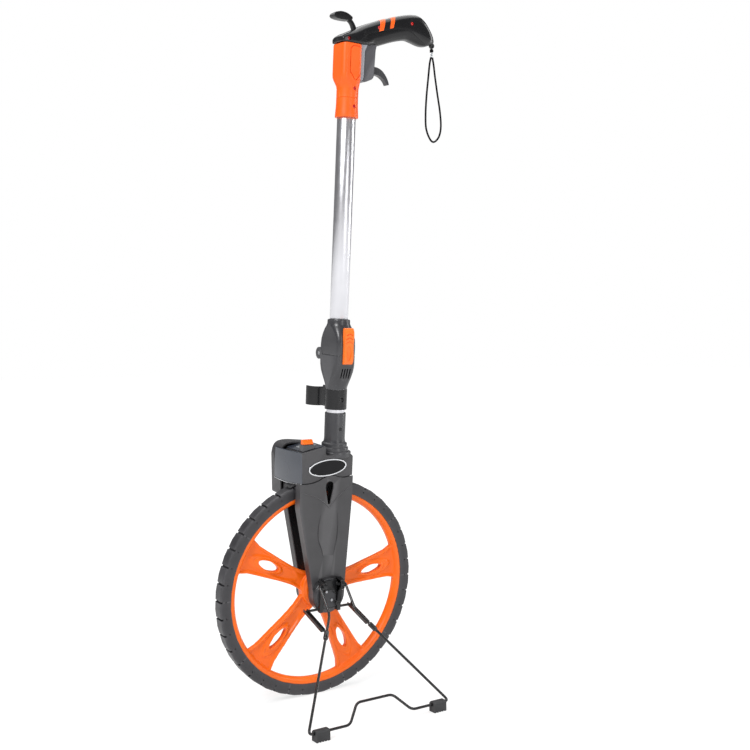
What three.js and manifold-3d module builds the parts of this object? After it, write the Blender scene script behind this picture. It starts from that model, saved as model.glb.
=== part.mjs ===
// Measuring wheel: a 4 ft surveyor's wheel with a folding pole, a pistol grip with a brake trigger,
// a mechanical counter in the fork head and a bent-wire kickstand.
// Millimetres. X runs to the rear, where the grip points, Y along the axle to the far side, Z up the pole.
import * as THREE from 'three';
import { mergeVertices } from 'three/addons/utils/BufferGeometryUtils.js';
import Module from 'manifold-3d';

const wasm = await Module();
wasm.setup();

// ---------------------------------------------------------------- driving sizes
const GAP = 0.3; // clearance kept between pieces that touch
const WALL = 2.6; // moulded plastic walls
const LEAN = THREE.MathUtils.degToRad(5.5); // the parked wheel leans onto its kickstand

const tyreRadius = 194; // four feet round
const tyreWidth = 23;
const tyreDepth = 20;
const tyreShoulder = 3;
const notchCount = 40;
const notchWidth = 3;
const notchDepth = 3.5;
const rimDepth = 10.5;
const rimEdgeDepth = 5.5;
const rimWidth = 20;
const spokeCount = 5;
const spokePhase = THREE.MathUtils.degToRad(9.5);
const spokeThickness = 9;
const spokeNeck = 15; // half width near the hub
const spokeBelly = 21; // half width at the eye
const spokeFlare = 33; // half width where it runs into the rim
const eyeCentre = tyreRadius - 81;
const eyeLength = 44;
const eyeWidth = 16;
const hubRadius = 35;
const hubHalfWidth = 11.5;

const axleRadius = 4;
const bearingRadius = 11;
const bearingWidth = 7;
const pulleyRadius = 11;
const pulleyWidth = 6;
const pulleyHub = 8;
const beltThickness = 1.5;

const plateInner = 14.5; // the fork's inner plates stand this far from the wheel's middle plane
const plateThickness = 3.5;
const legHalf = 30; // outer faces of the leg covers
const legFrontTop = -59;
const poleX = 24.5;
const tubeRadius = 16;
const legRearTop = poleX + tubeRadius + 6.5;
const legFrontShoulder = tyreRadius - 45;
const legRearShoulder = tyreRadius - 29;
const legFrontFoot = -25;
const legRearFoot = 37;
const legTop = tyreRadius - 1;
const footRadius = 32; // round lower end of the legs
const footCentreX = 6;
const footCentreZ = -8;
const crownHeight = 5.5;
const wheelClearance = 3.5; // running gap from the tread to the crown
const windowTop = tyreRadius + 1; // teardrop window in the near leg
const windowBottom = tyreRadius - 39;
const windowRadius = 8;

const boxNear = -28; // near face of the counter box
const boxFar = 29;
const boxFrontTop = tyreRadius + 53;
const boxPeak = tyreRadius + 62;
const boxPeakX = -9;
const boxRear = tyreRadius + 46;
const noseBulge = 9;
const noseFarY = 50;
const driveCoverFront = -67;
const driveCoverRear = 4;
const driveCoverFar = 62;
const driveCoverBottom = tyreRadius - 30;
const driveCoverTop = tyreRadius + 63;
const brakePivotX = -47;
const brakePivotAbove = 6; // over the crown
const brakeArmHalf = 8;
const shoeStart = THREE.MathUtils.degToRad(103);
const shoeEnd = THREE.MathUtils.degToRad(110);
const shoeGap = 2;
const counterX = -25; // counter shaft, parallel to the axle
const counterZ = tyreRadius + 40;
const counterShaftRadius = 2;
const drumRadius = 10;
const drumWidth = 6.5;
const countWindowFront = -44;
const countWindowRear = -15;
const countWindowNear = -9;
const countWindowFar = 17;
const drumCount = 5;
const drumFirstY = -17;
const badgeLength = 76;
const badgeHeight = 29;
const badgeThickness = 1.6;
const badgeTilt = 4.6; // degrees
const badgeX = -5;

const tubeWall = 1.8;
const socketRadius = tubeRadius + 2.5;
const bossRadius = tubeRadius + 9;
const bossTop = tyreRadius + 64;
const socketScrewZ = bossTop + 25;
const socketTop = bossTop + 53;
const lowerTubeFoot = tyreRadius + 51;
const clipBottom = socketTop + 6;
const clipTop = clipBottom + 35;
const clipRadius = tubeRadius + 3.4;
const clipWall = 3.5;
const jointZ = clipTop + 61; // parting plane of the folding joint
const jointY = tubeRadius + 17; // its hinge pin, on the far side
const jointHalfX = tubeRadius + 2.5;
const jointNear = -tubeRadius - 16;
const jointTop = jointZ + 61;
const knuckleRadius = 10.5;
const knuckleHalf = 7;
const pinRadius = 3.5;
const latchHalf = 9;
const latchBottom = jointZ - 15;
const latchTop = jointZ + 48;
const latchThickness = 6;
const poleReach = 345; // from the joint to the handle

const handleBottom = jointTop + poleReach;
const upperTubeTop = handleBottom + 61;
const neckRadius = tubeRadius + 2.7;
const neckTop = handleBottom + 66;
const headFront = -tubeRadius - 6; // from the pole axis
const headRear = tubeRadius;
const headHalfY = tubeRadius + 5;
const headTop = handleBottom + 122;
const gripHalfY = 16;
const gripShell = 2.8;
const housingRear = 47;
const housingHalfY = 11;
const housingBottom = handleBottom + 62;
const triggerPivotX = 41;
const triggerPivotZ = headTop - 37;
const triggerHalfY = 5;
const leverPivotX = 9;
const leverPivotZ = headTop + 16;
const leverHalfY = 3.5;
const paddleHalfY = 8;
const screwRadius = 2.6;
const pivotPinRadius = 2;

const standX = 4; // the kickstand's middle
const standHingeY = -45;
const standHingeZ = 14;
const standLength = 240; // hinge to crossbar, along the bent wire's plane
const wireRadius = 2.3;
const wireTopHalf = 26;
const wireFootHalf = 138;
const wireStraight = 52;
const bumpBaseHalf = 61;
const bumpTopHalf = 35;
const bumpHeight = 32;
const footPadCentre = 115;
const footPadLength = 25;
const footPadWidth = 16;
const footPadHeight = 18;
const footPadBelow = 13; // crossbar above the ground
const bracketRadius = 31;
const bracketFace = -40;
const braceRodY = -34;
const braceRodZ = -30;
const braceRodHalf = 45;
const braceLength = 60;
const braceWidth = 8;
const collarAlong = 80; // collar's place on each stand leg
const collarLength = 14;

const strapCord = 1.4; // radius
const strapKnot = 3.6;
const strapSleeve = 1.9;
const strapSleeveLength = 8;

// ---------------------------------------------------------------- materials
function finish(color, roughness, metalness) {
  return new THREE.MeshStandardMaterial({ color, roughness, metalness });
}
const orange = finish(0xf4682a, 0.42, 0);
const charcoal = finish(0x4d4b4f, 0.5, 0);
const darkGloss = finish(0x3c4452, 0.2, 0);
const black = finish(0x1a191b, 0.45, 0);
const rubber = finish(0x3c3a40, 0.8, 0);
const aluminium = finish(0xd7d7da, 0.3, 1);
const blackSteel = finish(0x141416, 0.35, 0.6);
const steel = finish(0xb4b6ba, 0.3, 1);
const clearPlastic = finish(0xdfe5ea, 0.08, 0);
const numeral = finish(0xf2f2ee, 0.5, 0);

// ---------------------------------------------------------------- solids
function solidOf(geometry) {
  const bare = geometry.clone();
  bare.deleteAttribute('normal');
  bare.deleteAttribute('uv');
  const merged = mergeVertices(bare, 1e-4);
  const index = merged.index.array;
  const triangles = [];
  for (let i = 0; i < index.length; i += 3) {
    const [a, b, c] = [index[i], index[i + 1], index[i + 2]];
    if (a !== b && b !== c && c !== a) triangles.push(a, b, c);
  }
  const corners = merged.attributes.position.array;
  if (signedVolume(corners, triangles) < 0) triangles.reverse();
  const mesh = new wasm.Mesh({
    numProp: 3,
    vertProperties: new Float32Array(corners),
    triVerts: new Uint32Array(triangles),
  });
  return new wasm.Manifold(mesh);
}

function signedVolume(corners, triangles) {
  const [a, b, c] = [new THREE.Vector3(), new THREE.Vector3(), new THREE.Vector3()];
  let volume = 0;
  for (let i = 0; i < triangles.length; i += 3) {
    a.fromArray(corners, 3 * triangles[i]);
    b.fromArray(corners, 3 * triangles[i + 1]);
    c.fromArray(corners, 3 * triangles[i + 2]);
    volume += a.dot(b.cross(c)) / 6;
  }
  return volume;
}

function geometryOf(solid) {
  const mesh = solid.getMesh();
  const geometry = new THREE.BufferGeometry();
  geometry.setAttribute('position', new THREE.BufferAttribute(new Float32Array(mesh.vertProperties), 3));
  geometry.setIndex(new THREE.BufferAttribute(new Uint32Array(mesh.triVerts), 1));
  geometry.computeVertexNormals();
  return geometry;
}

function join(first, ...others) {
  return others.reduce((sum, other) => sum.add(other), first);
}

function cut(body, ...tools) {
  return tools.reduce((left, tool) => left.subtract(tool), body);
}

function moved(solid, x, y, z) {
  return solid.translate([x, y, z]);
}

function points(pairs) {
  return pairs.map(([a, b]) => new THREE.Vector2(a, b));
}

// An outline moved inwards by a distance, corner by corner; it runs anticlockwise.
function insetOutline(outline, distance) {
  const ring = THREE.ShapeUtils.area(outline) > 0 ? outline : [...outline].reverse();
  return ring.map((corner, i) => {
    const before = ring[(i + ring.length - 1) % ring.length];
    const after = ring[(i + 1) % ring.length];
    const inFirst = corner.clone().sub(before).normalize().rotateAround(new THREE.Vector2(), Math.PI / 2);
    const inSecond = after.clone().sub(corner).normalize().rotateAround(new THREE.Vector2(), Math.PI / 2);
    const mitre = inFirst.clone().add(inSecond).normalize();
    return corner.clone().addScaledVector(mitre, distance / Math.max(mitre.dot(inFirst), 0.4));
  });
}

function extruded(outline, depth, bevel = 0) {
  const shape = outline instanceof THREE.Shape ? outline : new THREE.Shape(outline);
  const settings = { depth: depth - 2 * bevel, bevelEnabled: bevel > 0, bevelSize: bevel,
    bevelThickness: bevel, bevelOffset: -bevel, bevelSegments: 1, curveSegments: 10, steps: 1 };
  return new THREE.ExtrudeGeometry(shape, settings).translate(0, 0, bevel);
}

// Prisms of an outline given as (x, z), (x, y) or (y, z), between two values of the third axis.
function prismY(outline, low, high, bevel = 0) {
  return solidOf(extruded(outline, high - low, bevel).rotateX(Math.PI / 2).translate(0, high, 0));
}
function prismZ(outline, low, high, bevel = 0) {
  return solidOf(extruded(outline, high - low, bevel).translate(0, 0, low));
}
function prismX(outline, low, high, bevel = 0) {
  const turn = new THREE.Matrix4().makeBasis(
    new THREE.Vector3(0, 1, 0), new THREE.Vector3(0, 0, 1), new THREE.Vector3(1, 0, 0));
  return solidOf(extruded(outline, high - low, bevel).applyMatrix4(turn).translate(low, 0, 0));
}

function roundedRectangle(x0, x1, y0, y1, radius) {
  const outline = new THREE.Shape();
  outline.absarc(x1 - radius, y0 + radius, radius, -Math.PI / 2, 0);
  outline.absarc(x1 - radius, y1 - radius, radius, 0, Math.PI / 2);
  outline.absarc(x0 + radius, y1 - radius, radius, Math.PI / 2, Math.PI);
  outline.absarc(x0 + radius, y0 + radius, radius, Math.PI, 1.5 * Math.PI);
  return new THREE.Shape(outline.getPoints(4));
}

function block(x0, x1, y0, y1, z0, z1) {
  const box = new THREE.BoxGeometry(x1 - x0, y1 - y0, z1 - z0);
  return solidOf(box.translate((x0 + x1) / 2, (y0 + y1) / 2, (z0 + z1) / 2));
}

// A turned piece: profile points are (radius, height) and the height runs along the named axis.
function turned(profile, axis, segments = 20) {
  const lathe = new THREE.LatheGeometry(points(profile), segments);
  if (axis === 'x') lathe.rotateZ(-Math.PI / 2);
  if (axis === 'z') lathe.rotateX(Math.PI / 2);
  return solidOf(lathe);
}
function rod(radius, low, high, axis, segments = 20) {
  return turned([[0, low], [radius, low], [radius, high], [0, high]], axis, segments);
}
function ring(inner, outer, low, high, axis, segments = 20) {
  return turned([[inner, low], [outer, low], [outer, high], [inner, high], [inner, low]], axis, segments);
}

function rodBetween(from, to, radius, sides = 12) {
  const along = new THREE.Vector3().subVectors(to, from);
  const cylinder = new THREE.CylinderGeometry(radius, radius, along.length(), sides);
  const turn = new THREE.Quaternion().setFromUnitVectors(new THREE.Vector3(0, 1, 0), along.clone().normalize());
  cylinder.applyQuaternion(turn);
  cylinder.translate(...from.clone().add(to).multiplyScalar(0.5).toArray());
  return solidOf(cylinder);
}

function tubeAlong(path, radius, steps, sides) {
  const section = new THREE.Shape();
  for (let i = 0; i < sides; i += 1) {
    const angle = (2 * Math.PI * i) / sides;
    const corner = [radius * Math.cos(angle), radius * Math.sin(angle)];
    if (i === 0) section.moveTo(...corner);
    else section.lineTo(...corner);
  }
  return solidOf(new THREE.ExtrudeGeometry(section, { extrudePath: path, steps, bevelEnabled: false }));
}

// ---------------------------------------------------------------- scene graph
const wheelGroup = new THREE.Group();
const forkGroup = new THREE.Group();
const poleGroup = new THREE.Group();
const handleGroup = new THREE.Group();
const standGroup = new THREE.Group();
const strapGroup = new THREE.Group();
poleGroup.position.x = poleX;
poleGroup.add(handleGroup);

function addPiece(group, name, material, solid) {
  const mesh = new THREE.Mesh(geometryOf(solid), material);
  mesh.name = name;
  group.add(mesh);
  return mesh;
}

// ---------------------------------------------------------------- wheel
const tyreInner = tyreRadius - tyreDepth;
const rimOuter = tyreInner - GAP;
const rimInner = rimOuter - rimDepth;
const rimEdge = rimOuter - rimEdgeDepth;

function tyre() {
  const half = tyreWidth / 2;
  const profile = [
    [tyreInner, -half + 1.5], [tyreRadius - tyreShoulder, -half],
    [tyreRadius, -half + tyreShoulder], [tyreRadius, half - tyreShoulder],
    [tyreRadius - tyreShoulder, half], [tyreInner, half - 1.5],
    [tyreInner, -half + 1.5],
  ];
  const body = turned(profile, 'y', notchCount).rotate([0, 180 / notchCount, 0]);
  const cutters = [];
  for (let i = 0; i < notchCount; i += 1) {
    const slot = new THREE.BoxGeometry(notchDepth + 4, tyreWidth + 2, notchWidth);
    slot.translate(tyreRadius - notchDepth + (notchDepth + 4) / 2, 0, 0);
    slot.rotateY((2 * Math.PI * i) / notchCount);
    cutters.push(solidOf(slot));
  }
  return cut(body, ...cutters);
}

function spokeOutline() {
  const upper = new THREE.SplineCurve(points([
    [hubRadius - 8, spokeNeck + 3], [hubRadius + 17, spokeNeck], [eyeCentre - 31, spokeNeck + 2],
    [eyeCentre, spokeBelly], [eyeCentre + 33, spokeBelly + 4], [rimInner + 4, spokeFlare],
  ])).getPoints(7);
  const lower = upper.map((p) => new THREE.Vector2(p.x, -p.y)).reverse();
  return [...upper, ...lower].reverse();
}

function eyeOutline(length, width) {
  const outline = [];
  const count = 12;
  for (let i = 0; i < count; i += 1) {
    const angle = (2 * Math.PI * i) / count;
    const pinch = 1 - 0.18 * Math.abs(Math.cos(angle));
    outline.push(new THREE.Vector2(
      eyeCentre + (length / 2) * Math.cos(angle), (width / 2) * Math.sin(angle) * pinch));
  }
  return outline;
}

function wheelRim() {
  const half = rimWidth / 2;
  const hoop = turned([
    [rimEdge, -half], [rimOuter, -half], [rimOuter, half], [rimEdge, half],
    [rimInner, 3], [rimInner, -3], [rimEdge, -half],
  ], 'y', notchCount).rotate([0, 180 / notchCount, 0]);
  const hub = turned([
    [bearingRadius + GAP, -hubHalfWidth], [hubRadius - 6, -hubHalfWidth], [hubRadius, -hubHalfWidth + 5],
    [hubRadius, hubHalfWidth - 5], [hubRadius - 6, hubHalfWidth], [bearingRadius + GAP, hubHalfWidth],
    [bearingRadius + GAP, hubHalfWidth - bearingWidth - GAP], [bearingRadius - 3, hubHalfWidth - bearingWidth - GAP],
    [bearingRadius - 3, -hubHalfWidth + bearingWidth + GAP],
    [bearingRadius + GAP, -hubHalfWidth + bearingWidth + GAP], [bearingRadius + GAP, -hubHalfWidth],
  ], 'y', 16);
  const bore = rod(bearingRadius - 3, -hubHalfWidth, hubHalfWidth, 'y');
  const spokes = [];
  for (let i = 0; i < spokeCount; i += 1) {
    const blade = cut(
      join(
        prismY(spokeOutline(), -spokeThickness / 2, spokeThickness / 2),
        prismY(eyeOutline(eyeLength + 12, eyeWidth + 12), -spokeThickness / 2 - 2, spokeThickness / 2 + 2),
      ),
      prismY(eyeOutline(eyeLength, eyeWidth), -spokeThickness, spokeThickness),
    );
    const angle = THREE.MathUtils.radToDeg(spokePhase) + (360 * i) / spokeCount;
    spokes.push(blade.rotate([0, -angle, 0]));
  }
  return join(cut(join(...spokes), bore), hoop, hub);
}

function wheelPieces() {
  addPiece(wheelGroup, 'tyre', rubber, tyre());
  addPiece(wheelGroup, 'wheel_rim', orange, wheelRim());
  for (const [side, name] of [[-1, 'bearing_near'], [1, 'bearing_far']]) {
    const outerFace = side * (hubHalfWidth - GAP);
    const innerFace = side * (hubHalfWidth - bearingWidth);
    const low = Math.min(outerFace, innerFace);
    const high = Math.max(outerFace, innerFace);
    addPiece(wheelGroup, name, steel, ring(axleRadius + GAP, bearingRadius, low, high, 'y'));
  }
  const spacerHalf = hubHalfWidth - bearingWidth - GAP;
  addPiece(wheelGroup, 'bearing_spacer', steel,
    ring(axleRadius + GAP, axleRadius + 2, -spacerHalf, spacerHalf, 'y'));
  const beltLow = plateInner + plateThickness + 2;
  addPiece(wheelGroup, 'hub_pulley', black, turned([
    [axleRadius + GAP, hubHalfWidth + GAP], [pulleyHub, hubHalfWidth + GAP], [pulleyHub, beltLow - 1],
    [pulleyRadius + 1, beltLow - 1], [pulleyRadius + 1, beltLow], [pulleyRadius, beltLow],
    [pulleyRadius, beltLow + pulleyWidth], [axleRadius + GAP, beltLow + pulleyWidth],
    [axleRadius + GAP, hubHalfWidth + GAP],
  ], 'y', 16));
}

// ---------------------------------------------------------------- fork
// Side outline of a leg as (x, z), drawn inwards by a distance and up to a chosen top.
function legOutline(top, inset) {
  const foot = [];
  for (let i = 0; i <= 6; i += 1) {
    const angle = Math.PI + (Math.PI * i) / 6;
    foot.push([footCentreX + footRadius * Math.cos(angle), footCentreZ + footRadius * Math.sin(angle)]);
  }
  const outline = points([
    [legFrontTop, top], [legFrontTop, legFrontShoulder], [legFrontFoot - 1, footCentreZ + 8],
    ...foot, [legRearFoot + 1, footCentreZ + 13], [legRearTop, legRearShoulder], [legRearTop, top],
  ]);
  return inset === 0 ? outline : insetOutline(outline, inset);
}

function teardrop(low, high) {
  const outline = new THREE.Shape();
  outline.moveTo(0, windowBottom);
  outline.lineTo(windowRadius, windowTop - windowRadius - 4);
  outline.absarc(0, windowTop - windowRadius, windowRadius, 0, Math.PI, false);
  outline.lineTo(-windowRadius, windowTop - windowRadius - 4);
  outline.lineTo(-2, windowBottom);
  return prismY(outline, low, high);
}

const plateOuter = plateInner + plateThickness;
const crownBottom = tyreRadius + wheelClearance;
const crownTop = crownBottom + crownHeight;
const beltY = plateOuter + 2;
const brakePivotZ = crownTop + brakePivotAbove;
const frameInset = WALL + GAP;
const seatRadius = socketRadius + 1.2;

function forkFrame() {
  const outline = legOutline(crownTop, frameInset);
  const near = prismY(outline, -plateOuter, -plateInner);
  const far = prismY(outline, plateInner, plateOuter);
  const crown = block(legFrontTop + frameInset, legRearTop - frameInset,
    boxNear + WALL + GAP + 1, boxFar - GAP, crownBottom, crownTop);
  const beltX = (counterX * crownTop) / counterZ;
  const beltHalf = pulleyRadius + beltThickness + 3;
  const beltSlot = block(beltX - beltHalf, beltX + beltHalf, beltY - 1, beltY + pulleyWidth + 1,
    crownBottom - 1, crownTop + 1);
  const socketSeat = ring(tubeRadius - tubeWall, seatRadius, crownTop - 1, lowerTubeFoot - GAP, 'z');
  const brakeNotch = block(legFrontTop - 1, brakePivotX + 9, -brakeArmHalf - 1.5, brakeArmHalf + 1.5,
    crownBottom - 1, crownTop + 1);
  return cut(
    join(near, far, crown, moved(socketSeat, poleX, 0, 0)),
    beltSlot,
    brakeNotch,
    teardrop(-legHalf - 1, -plateInner + 1),
    rod(axleRadius + GAP, -legHalf, 0, 'y'),
    rod(pulleyRadius + 2 + GAP, 0, plateOuter + 1, 'y'),
  );
}

// A leg cover is a tray that faces the frame plate, closed by its outer face.
function legCover(side) {
  const outer = legHalf;
  const inner = plateInner;
  const span = (low, high) => (side < 0 ? [-high, -low] : [low, high]);
  const body = prismY(legOutline(legTop, 0), ...span(inner, outer), 1);
  const hollow = prismY(legOutline(legTop + 20, WALL), ...span(inner - 5, outer - WALL));
  return cut(body, hollow);
}

function nearLegCover() {
  return cut(
    legCover(-1),
    teardrop(-legHalf - 1, -plateInner),
    rod(screwRadius, -legHalf - 1, -plateInner, 'y', 12),
  );
}

function farLegCover() {
  const boss = ring(axleRadius + GAP, axleRadius + 5, beltY + pulleyWidth + 1, legHalf - 1, 'y');
  return cut(join(legCover(1), boss), rod(axleRadius + GAP, plateInner, legHalf + 1, 'y'));
}

function hexNut(low, high) {
  return cut(rod(7.5, low, high, 'y', 6), rod(axleRadius + GAP, low - 1, high + 1, 'y'));
}

function beltLoop(radius) {
  const centres = [new THREE.Vector2(0, 0), new THREE.Vector2(counterX, counterZ)];
  const lean = Math.atan2(counterZ, counterX);
  const outline = [];
  for (const [centre, start] of [[centres[0], lean + Math.PI / 2], [centres[1], lean - Math.PI / 2]]) {
    for (let i = 0; i <= 10; i += 1) {
      const angle = start + (Math.PI * i) / 10;
      outline.push(new THREE.Vector2(
        centre.x + radius * Math.cos(angle), centre.y + radius * Math.sin(angle)));
    }
  }
  return outline;
}

function forkPieces() {
  addPiece(forkGroup, 'fork_frame', charcoal, forkFrame());
  addPiece(forkGroup, 'near_leg_cover', charcoal, nearLegCover());
  addPiece(forkGroup, 'far_leg_cover', charcoal, farLegCover());
  addPiece(forkGroup, 'axle', steel, rod(axleRadius, -plateOuter - 8, legHalf + 6, 'y'));
  addPiece(forkGroup, 'axle_nut_near', steel,
    hexNut(-plateOuter - 6, -plateOuter - GAP));
  addPiece(forkGroup, 'axle_nut_far', steel,
    hexNut(legHalf + GAP, legHalf + 5));
  addPiece(forkGroup, 'drive_belt', black, cut(
    prismY(beltLoop(pulleyRadius + GAP + beltThickness), beltY + GAP, beltY + pulleyWidth - GAP),
    prismY(beltLoop(pulleyRadius + GAP), beltY - 1, beltY + pulleyWidth + 1),
  ));
}

// ---------------------------------------------------------------- counter box
const coverInner = boxNear + WALL + GAP;
const boxFloor = crownTop + GAP;

function boxSide(floorZ) {
  return points([
    [legFrontTop + WALL, floorZ], [legRearTop, floorZ], [legRearTop, boxRear - 4],
    [legRearTop - 4, boxRear], [boxPeakX + 3, boxRear], [boxPeakX, boxRear + 3],
    [boxPeakX, boxPeak], [legFrontTop + WALL, boxFrontTop],
  ]);
}

function windowOpening(grow, low, high) {
  return block(countWindowFront - grow, countWindowRear + grow, countWindowNear - grow,
    countWindowFar + grow, low, high);
}

function counterHousing() {
  const body = prismY(boxSide(boxFloor), coverInner, boxFar);
  const hollow = prismY(insetOutline(boxSide(boxFloor), WALL), coverInner - 5, boxFar - WALL);
  const openFloor = block(legFrontTop + 2 * WALL + 2, legRearTop - WALL, coverInner - 5, boxFar - WALL,
    boxFloor - 5, boxFloor + 8);
  const poleHole = moved(rod(seatRadius + GAP, boxFloor, boxPeak + 10, 'z'), poleX, 0, 0);
  const shaftHole = moved(rod(counterShaftRadius + GAP, 0, boxFar + 5, 'y', 12), counterX, 0, counterZ);
  const brakeGap = block(legFrontTop - 5, legFrontTop + 2 * WALL + 3, -12, 12, boxFloor - 5, boxFloor + 12);
  return cut(body, hollow, openFloor, poleHole, shaftHole, brakeGap, windowOpening(0, boxRear, boxPeak + 5));
}

function counterCover() {
  const outline = points([
    [legFrontTop + WALL, legTop + GAP], [legRearTop, legTop + 7], [legRearTop, boxRear - 4],
    [legRearTop - 4, boxRear], [boxPeakX + 3, boxRear], [boxPeakX, boxRear + 3],
    [boxPeakX, boxPeak], [legFrontTop + WALL, boxFrontTop],
  ]);
  return prismY(outline, boxNear, coverInner - GAP, 0.8);
}

function nosePanel() {
  const arc = (offset) => {
    const start = new THREE.Vector2(legFrontTop + WALL - GAP - offset, boxNear + 0.5);
    const finish = new THREE.Vector2(driveCoverFront + 8 - offset, noseFarY);
    const bulge = new THREE.Vector2(legFrontTop - noseBulge - offset, (boxNear + noseFarY) / 2 + 6);
    return new THREE.QuadraticBezierCurve(start, bulge, finish).getPoints(8);
  };
  const skin = [...arc(WALL), ...arc(0).reverse()];
  const farReturn = block(driveCoverFront + 8 - WALL, legFrontTop + WALL - GAP, noseFarY - WALL, noseFarY,
    legTop + GAP, boxFrontTop - 2);
  return join(prismZ(skin, legTop + GAP, boxFrontTop), farReturn);
}

function driveCover() {
  const outline = new THREE.Shape();
  const corner = 18;
  outline.moveTo(driveCoverFront + 4, driveCoverBottom);
  outline.lineTo(driveCoverRear - 16, driveCoverBottom);
  outline.lineTo(driveCoverRear, driveCoverBottom + 24);
  outline.lineTo(driveCoverRear, boxPeak - 3);
  outline.lineTo(driveCoverFront + corner + 14, driveCoverTop);
  outline.quadraticCurveTo(driveCoverFront, driveCoverTop - 2, driveCoverFront, driveCoverTop - 22);
  const outer = new THREE.Shape(outline.getPoints(5));
  const inner = new THREE.Shape(insetOutline(outline.getPoints(5).slice(0, -1), WALL));
  const wallNear = legHalf + GAP;
  const body = prismY(outer, wallNear, driveCoverFar, 1.5);
  const hollow = prismY(inner, wallNear - 5, driveCoverFar - WALL);
  const noseRelief = block(driveCoverFront - 5, legFrontTop + WALL + GAP, wallNear - 5, noseFarY + GAP,
    legTop, boxFrontTop + GAP);
  return cut(body, hollow, noseRelief);
}

function counterPieces() {
  addPiece(forkGroup, 'counter_housing', charcoal, counterHousing());
  addPiece(forkGroup, 'counter_cover', charcoal, counterCover());
  addPiece(forkGroup, 'nose_panel', darkGloss, nosePanel());
  addPiece(forkGroup, 'drive_cover', charcoal, driveCover());
  addPiece(forkGroup, 'counter_window', clearPlastic, windowOpening(-GAP, boxRear + 6.5, boxRear + 9));
  const shaftLow = coverInner + 1;
  const shaftHigh = beltY + pulleyWidth + 8;
  const shaft = rod(counterShaftRadius, shaftLow, shaftHigh, 'y', 12);
  addPiece(forkGroup, 'counter_shaft', steel, moved(shaft, counterX, 0, counterZ));
  const pulley = ring(counterShaftRadius + GAP, pulleyRadius, beltY, beltY + pulleyWidth, 'y', 16);
  addPiece(forkGroup, 'counter_pulley', black, moved(pulley, counterX, 0, counterZ));
  for (let i = 0; i < drumCount; i += 1) {
    const low = drumFirstY + i * (drumWidth + GAP);
    const drum = ring(counterShaftRadius + GAP, drumRadius, low, low + drumWidth, 'y', 12);
    addPiece(forkGroup, `digit_drum_${i + 1}`, numeral, moved(drum, counterX, 0, counterZ));
  }
  const badge = new THREE.Shape();
  badge.absellipse(0, 0, badgeLength / 2, badgeHeight / 2, 0, 2 * Math.PI, false, 0);
  const plate = prismY(badge, boxNear - GAP - badgeThickness, boxNear - GAP, 0.6).rotate([0, -badgeTilt, 0]);
  addPiece(forkGroup, 'badge', black, moved(plate, badgeX, 0, tyreRadius + 25));
  addPiece(forkGroup, 'reset_base', charcoal, resetBase());
  addPiece(forkGroup, 'reset_button', orange, resetButton());
}

// ---------------------------------------------------------------- zero button on the box
const resetFront = -53;
const resetRear = -30;
const resetNear = coverInner + 1;
const resetFar = -11;
const resetBaseTop = boxPeak + 4;
const resetWall = 1.6;
const buttonHeight = 9;

function resetBase() {
  const lid = points([
    [resetFront, boxFrontTop + 1.2], [resetRear, boxFrontTop + 6.2], [resetRear, resetBaseTop],
    [resetFront, resetBaseTop],
  ]);
  const well = block(resetFront + resetWall, resetRear - resetWall, resetNear + resetWall,
    resetFar - resetWall, resetBaseTop - 3, resetBaseTop + 1);
  return cut(prismY(lid, resetNear, resetFar), well);
}

function resetButton() {
  const inner = resetWall + GAP;
  const body = block(resetFront + inner, resetRear - inner, resetNear + inner, resetFar - inner,
    resetBaseTop, resetBaseTop + buttonHeight - 1);
  const slope = points([
    [resetNear, resetBaseTop], [resetFar, resetBaseTop], [resetFar, resetBaseTop + buttonHeight],
    [resetNear + 5, resetBaseTop + buttonHeight], [resetNear, resetBaseTop + 3],
  ]);
  const ridges = [];
  for (let i = 0; i < 4; i += 1) {
    const x = resetFront + 5 + i * 4.6;
    ridges.push(block(x, x + 1.8, resetNear + inner + 4, resetFar - inner,
      resetBaseTop + buttonHeight - 2, resetBaseTop + buttonHeight));
  }
  return join(body.intersect(prismX(slope, resetFront, resetRear)), ...ridges);
}

// ---------------------------------------------------------------- brake over the tyre
function brakePieces() {
  const radiusIn = tyreRadius + shoeGap;
  const pad = new THREE.Shape();
  pad.absarc(0, 0, radiusIn, shoeStart, shoeEnd, false);
  pad.absarc(0, 0, radiusIn + 4, shoeEnd, shoeStart, true);
  addPiece(forkGroup, 'brake_pad', rubber, prismY(pad, -brakeArmHalf - 1, brakeArmHalf + 1));
  const arm = new THREE.Shape();
  arm.absarc(0, 0, radiusIn + 4 + GAP, shoeStart + 0.02, shoeEnd - 0.01, false);
  arm.lineTo(legFrontTop - 3, legTop - 2);
  arm.lineTo(brakePivotX - 9, legTop + 4);
  arm.lineTo(brakePivotX - 6, brakePivotZ + 4);
  arm.lineTo(brakePivotX + 4, brakePivotZ + 4);
  arm.lineTo(brakePivotX + 4, brakePivotZ - 4.5);
  const pinHole = moved(rod(pivotPinRadius + GAP, -12, 12, 'y', 12), brakePivotX, 0, brakePivotZ);
  addPiece(forkGroup, 'brake_arm', black, cut(prismY(arm, -brakeArmHalf, brakeArmHalf), pinHole));
  const pin = rod(pivotPinRadius, coverInner + 1, boxFar - WALL - 1, 'y', 12);
  addPiece(forkGroup, 'brake_pin', steel, moved(pin, brakePivotX, 0, brakePivotZ));
}

// ---------------------------------------------------------------- pole
function poleSocket() {
  return turned([
    [tubeRadius + GAP, lowerTubeFoot], [seatRadius + GAP, lowerTubeFoot], [seatRadius + GAP, boxRear + GAP],
    [bossRadius, boxRear + GAP], [bossRadius, bossTop - 2], [bossRadius - 3, bossTop],
    [socketRadius + 2, bossTop + 2], [socketRadius, bossTop + 7], [socketRadius, socketTop - 1],
    [socketRadius - 1, socketTop], [tubeRadius + GAP, socketTop], [tubeRadius + GAP, lowerTubeFoot],
  ], 'z', 24);
}

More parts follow.
